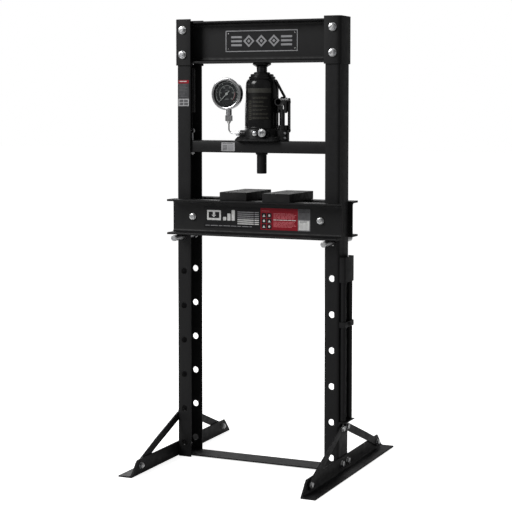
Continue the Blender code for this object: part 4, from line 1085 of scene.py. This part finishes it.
def build_filler_plug():
    """Rubber oil plug on the reservoir's rear."""
    place = pointing((0, reservoir_radius() - 0.0012, FILLER_PLUG_Z), (0, 1, 0))
    profile = [(0, 0.0052), (0.0050, 0.0052), (0.0066, 0.0040), (0.0072, 0.0015), (0.0072, -0.0010),
               (0, -0.0010)]
    bm = bmesh.new()
    lathe(bm, profile, 32, place)
    add_piece("oil_filler_plug", bm, [RUBBER], "crosshead")


def build_link_clips():
    """Retaining clips and domed ends on the pump's cross pins."""
    low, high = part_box("pump_side_links")
    left, right = (low.x, -1), (high.x, 1)
    for name, y, z, radius, ends in (("lower", FULCRUM_Y, 1.1330, LINK_PIN_RADIUS, (left, right)),
                                     ("fulcrum", FULCRUM_Y, 1.2280, LINK_PIN_RADIUS, (left, right)),
                                     ("upper", 0.0375, 1.2400, STAY_PIN_RADIUS, (left,))):
        bm = bmesh.new()
        for x, direction in ends:
            place = pointing((x, y, z), (direction, 0, 0))
            ring(bm, [(radius - 0.0004, -0.0010), (radius + 0.0017, -0.0010), (radius + 0.0017, -0.0003),
                      (radius - 0.0004, -0.0003)], 28, place)
            lathe(bm, [(0, 0.0006), (radius * 0.7, 0.0006), (radius * 0.98, 0.0), (radius * 0.98, -0.0012),
                       (0, -0.0012)], 24, place)
        add_piece(f"pump_{name}_pin_clips", bm, [DARK], "crosshead")


build_plugs()
build_reservoir_bead()
build_filler_plug()
build_link_clips()


# ---------------------------------------------------------------- stored handle's clip

CLIP_BOTTOM = 0.4850
CLIP_TOP = 0.5030
CLIP_HALF_WIDTH = 0.0425
CLIP_THICKNESS = 0.0016


def build_clip_strap(inner, outer):
    """Strap bent round both handle halves, open at the column."""
    half = CLIP_HALF_WIDTH
    thickness = CLIP_THICKNESS
    foot = inner + 0.0002
    lining = outer - 0.0002
    outline = [(foot, -half), (outer, -half), (outer + thickness, -half + thickness),
               (outer + thickness, half - thickness), (outer, half), (foot, half),
               (foot, half - thickness), (lining, half - thickness),
               (lining, -half + thickness), (foot, -half + thickness)]
    bm = bmesh.new()
    prism(bm, outline, CLIP_BOTTOM, CLIP_TOP, lambda u, v, h: Vector((u, v, h)))
    add_piece("handle_clip_strap", bm, [PAINT], "frame")


def build_clip_screw(outer):
    """Hexagon screw on a washer that holds the strap against the handle halves."""
    bm = bmesh.new()
    place = pointing((outer + CLIP_THICKNESS, 0, (CLIP_BOTTOM + CLIP_TOP) / 2), (1, 0, 0))
    ring(bm, [(0.0030, 0.0), (0.0030, 0.0012), (0.0075, 0.0012), (0.0075, 0.0)], 28, place)
    hex_head(bm, 0.0100, 0.0012, 0.0058, place)
    lathe(bm, [(0, 0.0100), (0.0026, 0.0100), (0.0030, 0.0094), (0.0030, -0.0180), (0, -0.0180)], 20, place)
    add_piece("handle_clip_screw", bm, [DARK], "frame")


column_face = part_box("right_column")[1].x
handle_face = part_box("pump_handle_lower_half")[1].x + 0.0008
build_clip_strap(column_face, handle_face)
build_clip_screw(handle_face)


# ---------------------------------------------------------------- stage, light and camera

def build_stage():
    """Pale floor that reads as white to the camera."""
    floor = Shader("studio_floor", (0.93, 0.93, 0.93), 0.85, specular=0.1)
    floor.color(floor.ramp(floor.noise(1.5, 2.0), 0.0, 1.0), (0.925, 0.925, 0.925), (0.935, 0.935, 0.935))
    path = floor.tree.nodes.new("ShaderNodeLightPath")
    glow = floor.ramp(path.outputs["Is Camera Ray"], 0.0, 0.85, 0.0, 1.0)
    floor.set("Emission Color", (1.0, 1.0, 1.0, 1.0))
    floor.link(glow, floor.shader.inputs["Emission Strength"])
    bpy.ops.mesh.primitive_plane_add(size=60.0, location=(0, 0, -0.0005))
    ground = bpy.context.object
    ground.name = "studio_floor"
    ground.data.materials.append(floor.material)


def lit_backdrop(tree, shader, strength):
    """White for the camera, and only a soft share of that for the reflections and the light."""
    path = tree.nodes.new("ShaderNodeLightPath")
    level = tree.nodes.new("ShaderNodeMapRange")
    level.inputs["To Min"].default_value = strength
    level.inputs["To Max"].default_value = 1.0
    tree.links.new(path.outputs["Is Camera Ray"], level.inputs["Value"])
    tree.links.new(level.outputs["Result"], shader.inputs["Strength"])


def area_light(name, place, target, size, energy):
    """A rectangular light that faces a target."""
    light = bpy.data.lights.new(name, "AREA")
    light.shape = "RECTANGLE"
    light.size, light.size_y = size
    light.energy = energy
    obj = bpy.data.objects.new(name, light)
    obj.location = place
    obj.rotation_euler = (Vector(target) - Vector(place)).to_track_quat("-Z", "Y").to_euler()
    bpy.context.scene.collection.objects.link(obj)


def build_light():
    """Soft key from the left front, weak fill, and two lights from the rear."""
    world = bpy.data.worlds.new("studio")
    bpy.context.scene.world = world
    world.use_nodes = True
    background = world.node_tree.nodes["Background"]
    background.inputs["Color"].default_value = (1.0, 1.0, 1.0, 1.0)
    lit_backdrop(world.node_tree, background, 0.18)
    area_light("key_light", (-2.6, -3.4, 3.6), (0, 0, 0.9), (2.0, 2.6), 158)
    area_light("fill_light", (3.2, -2.6, 1.9), (0, 0, 0.8), (2.0, 2.4), 1)
    area_light("rear_light", (-3.2, 2.8, 2.2), (0, 0, 0.8), (2.4, 2.0), 50)
    area_light("top_light", (-0.8, 3.4, 2.6), (0, 0, 1.0), (2.4, 1.6), 15)
    bpy.context.scene.view_settings.view_transform = "Standard"


def build_camera():
    """Camera at the place and lens fitted to the photo's perspective."""
    data = bpy.data.cameras.new("camera")
    data.sensor_width = 36.0
    data.lens = 100.7
    data.shift_x = 0.0192
    data.shift_y = -0.1483
    camera = bpy.data.objects.new("camera", data)
    camera.location = (1.9423, -4.4393, 1.2226)
    camera.rotation_euler = (math.radians(86.944), 0.0, math.radians(24.255))
    bpy.context.scene.collection.objects.link(camera)
    bpy.context.scene.camera = camera


build_stage()
build_light()
build_camera()
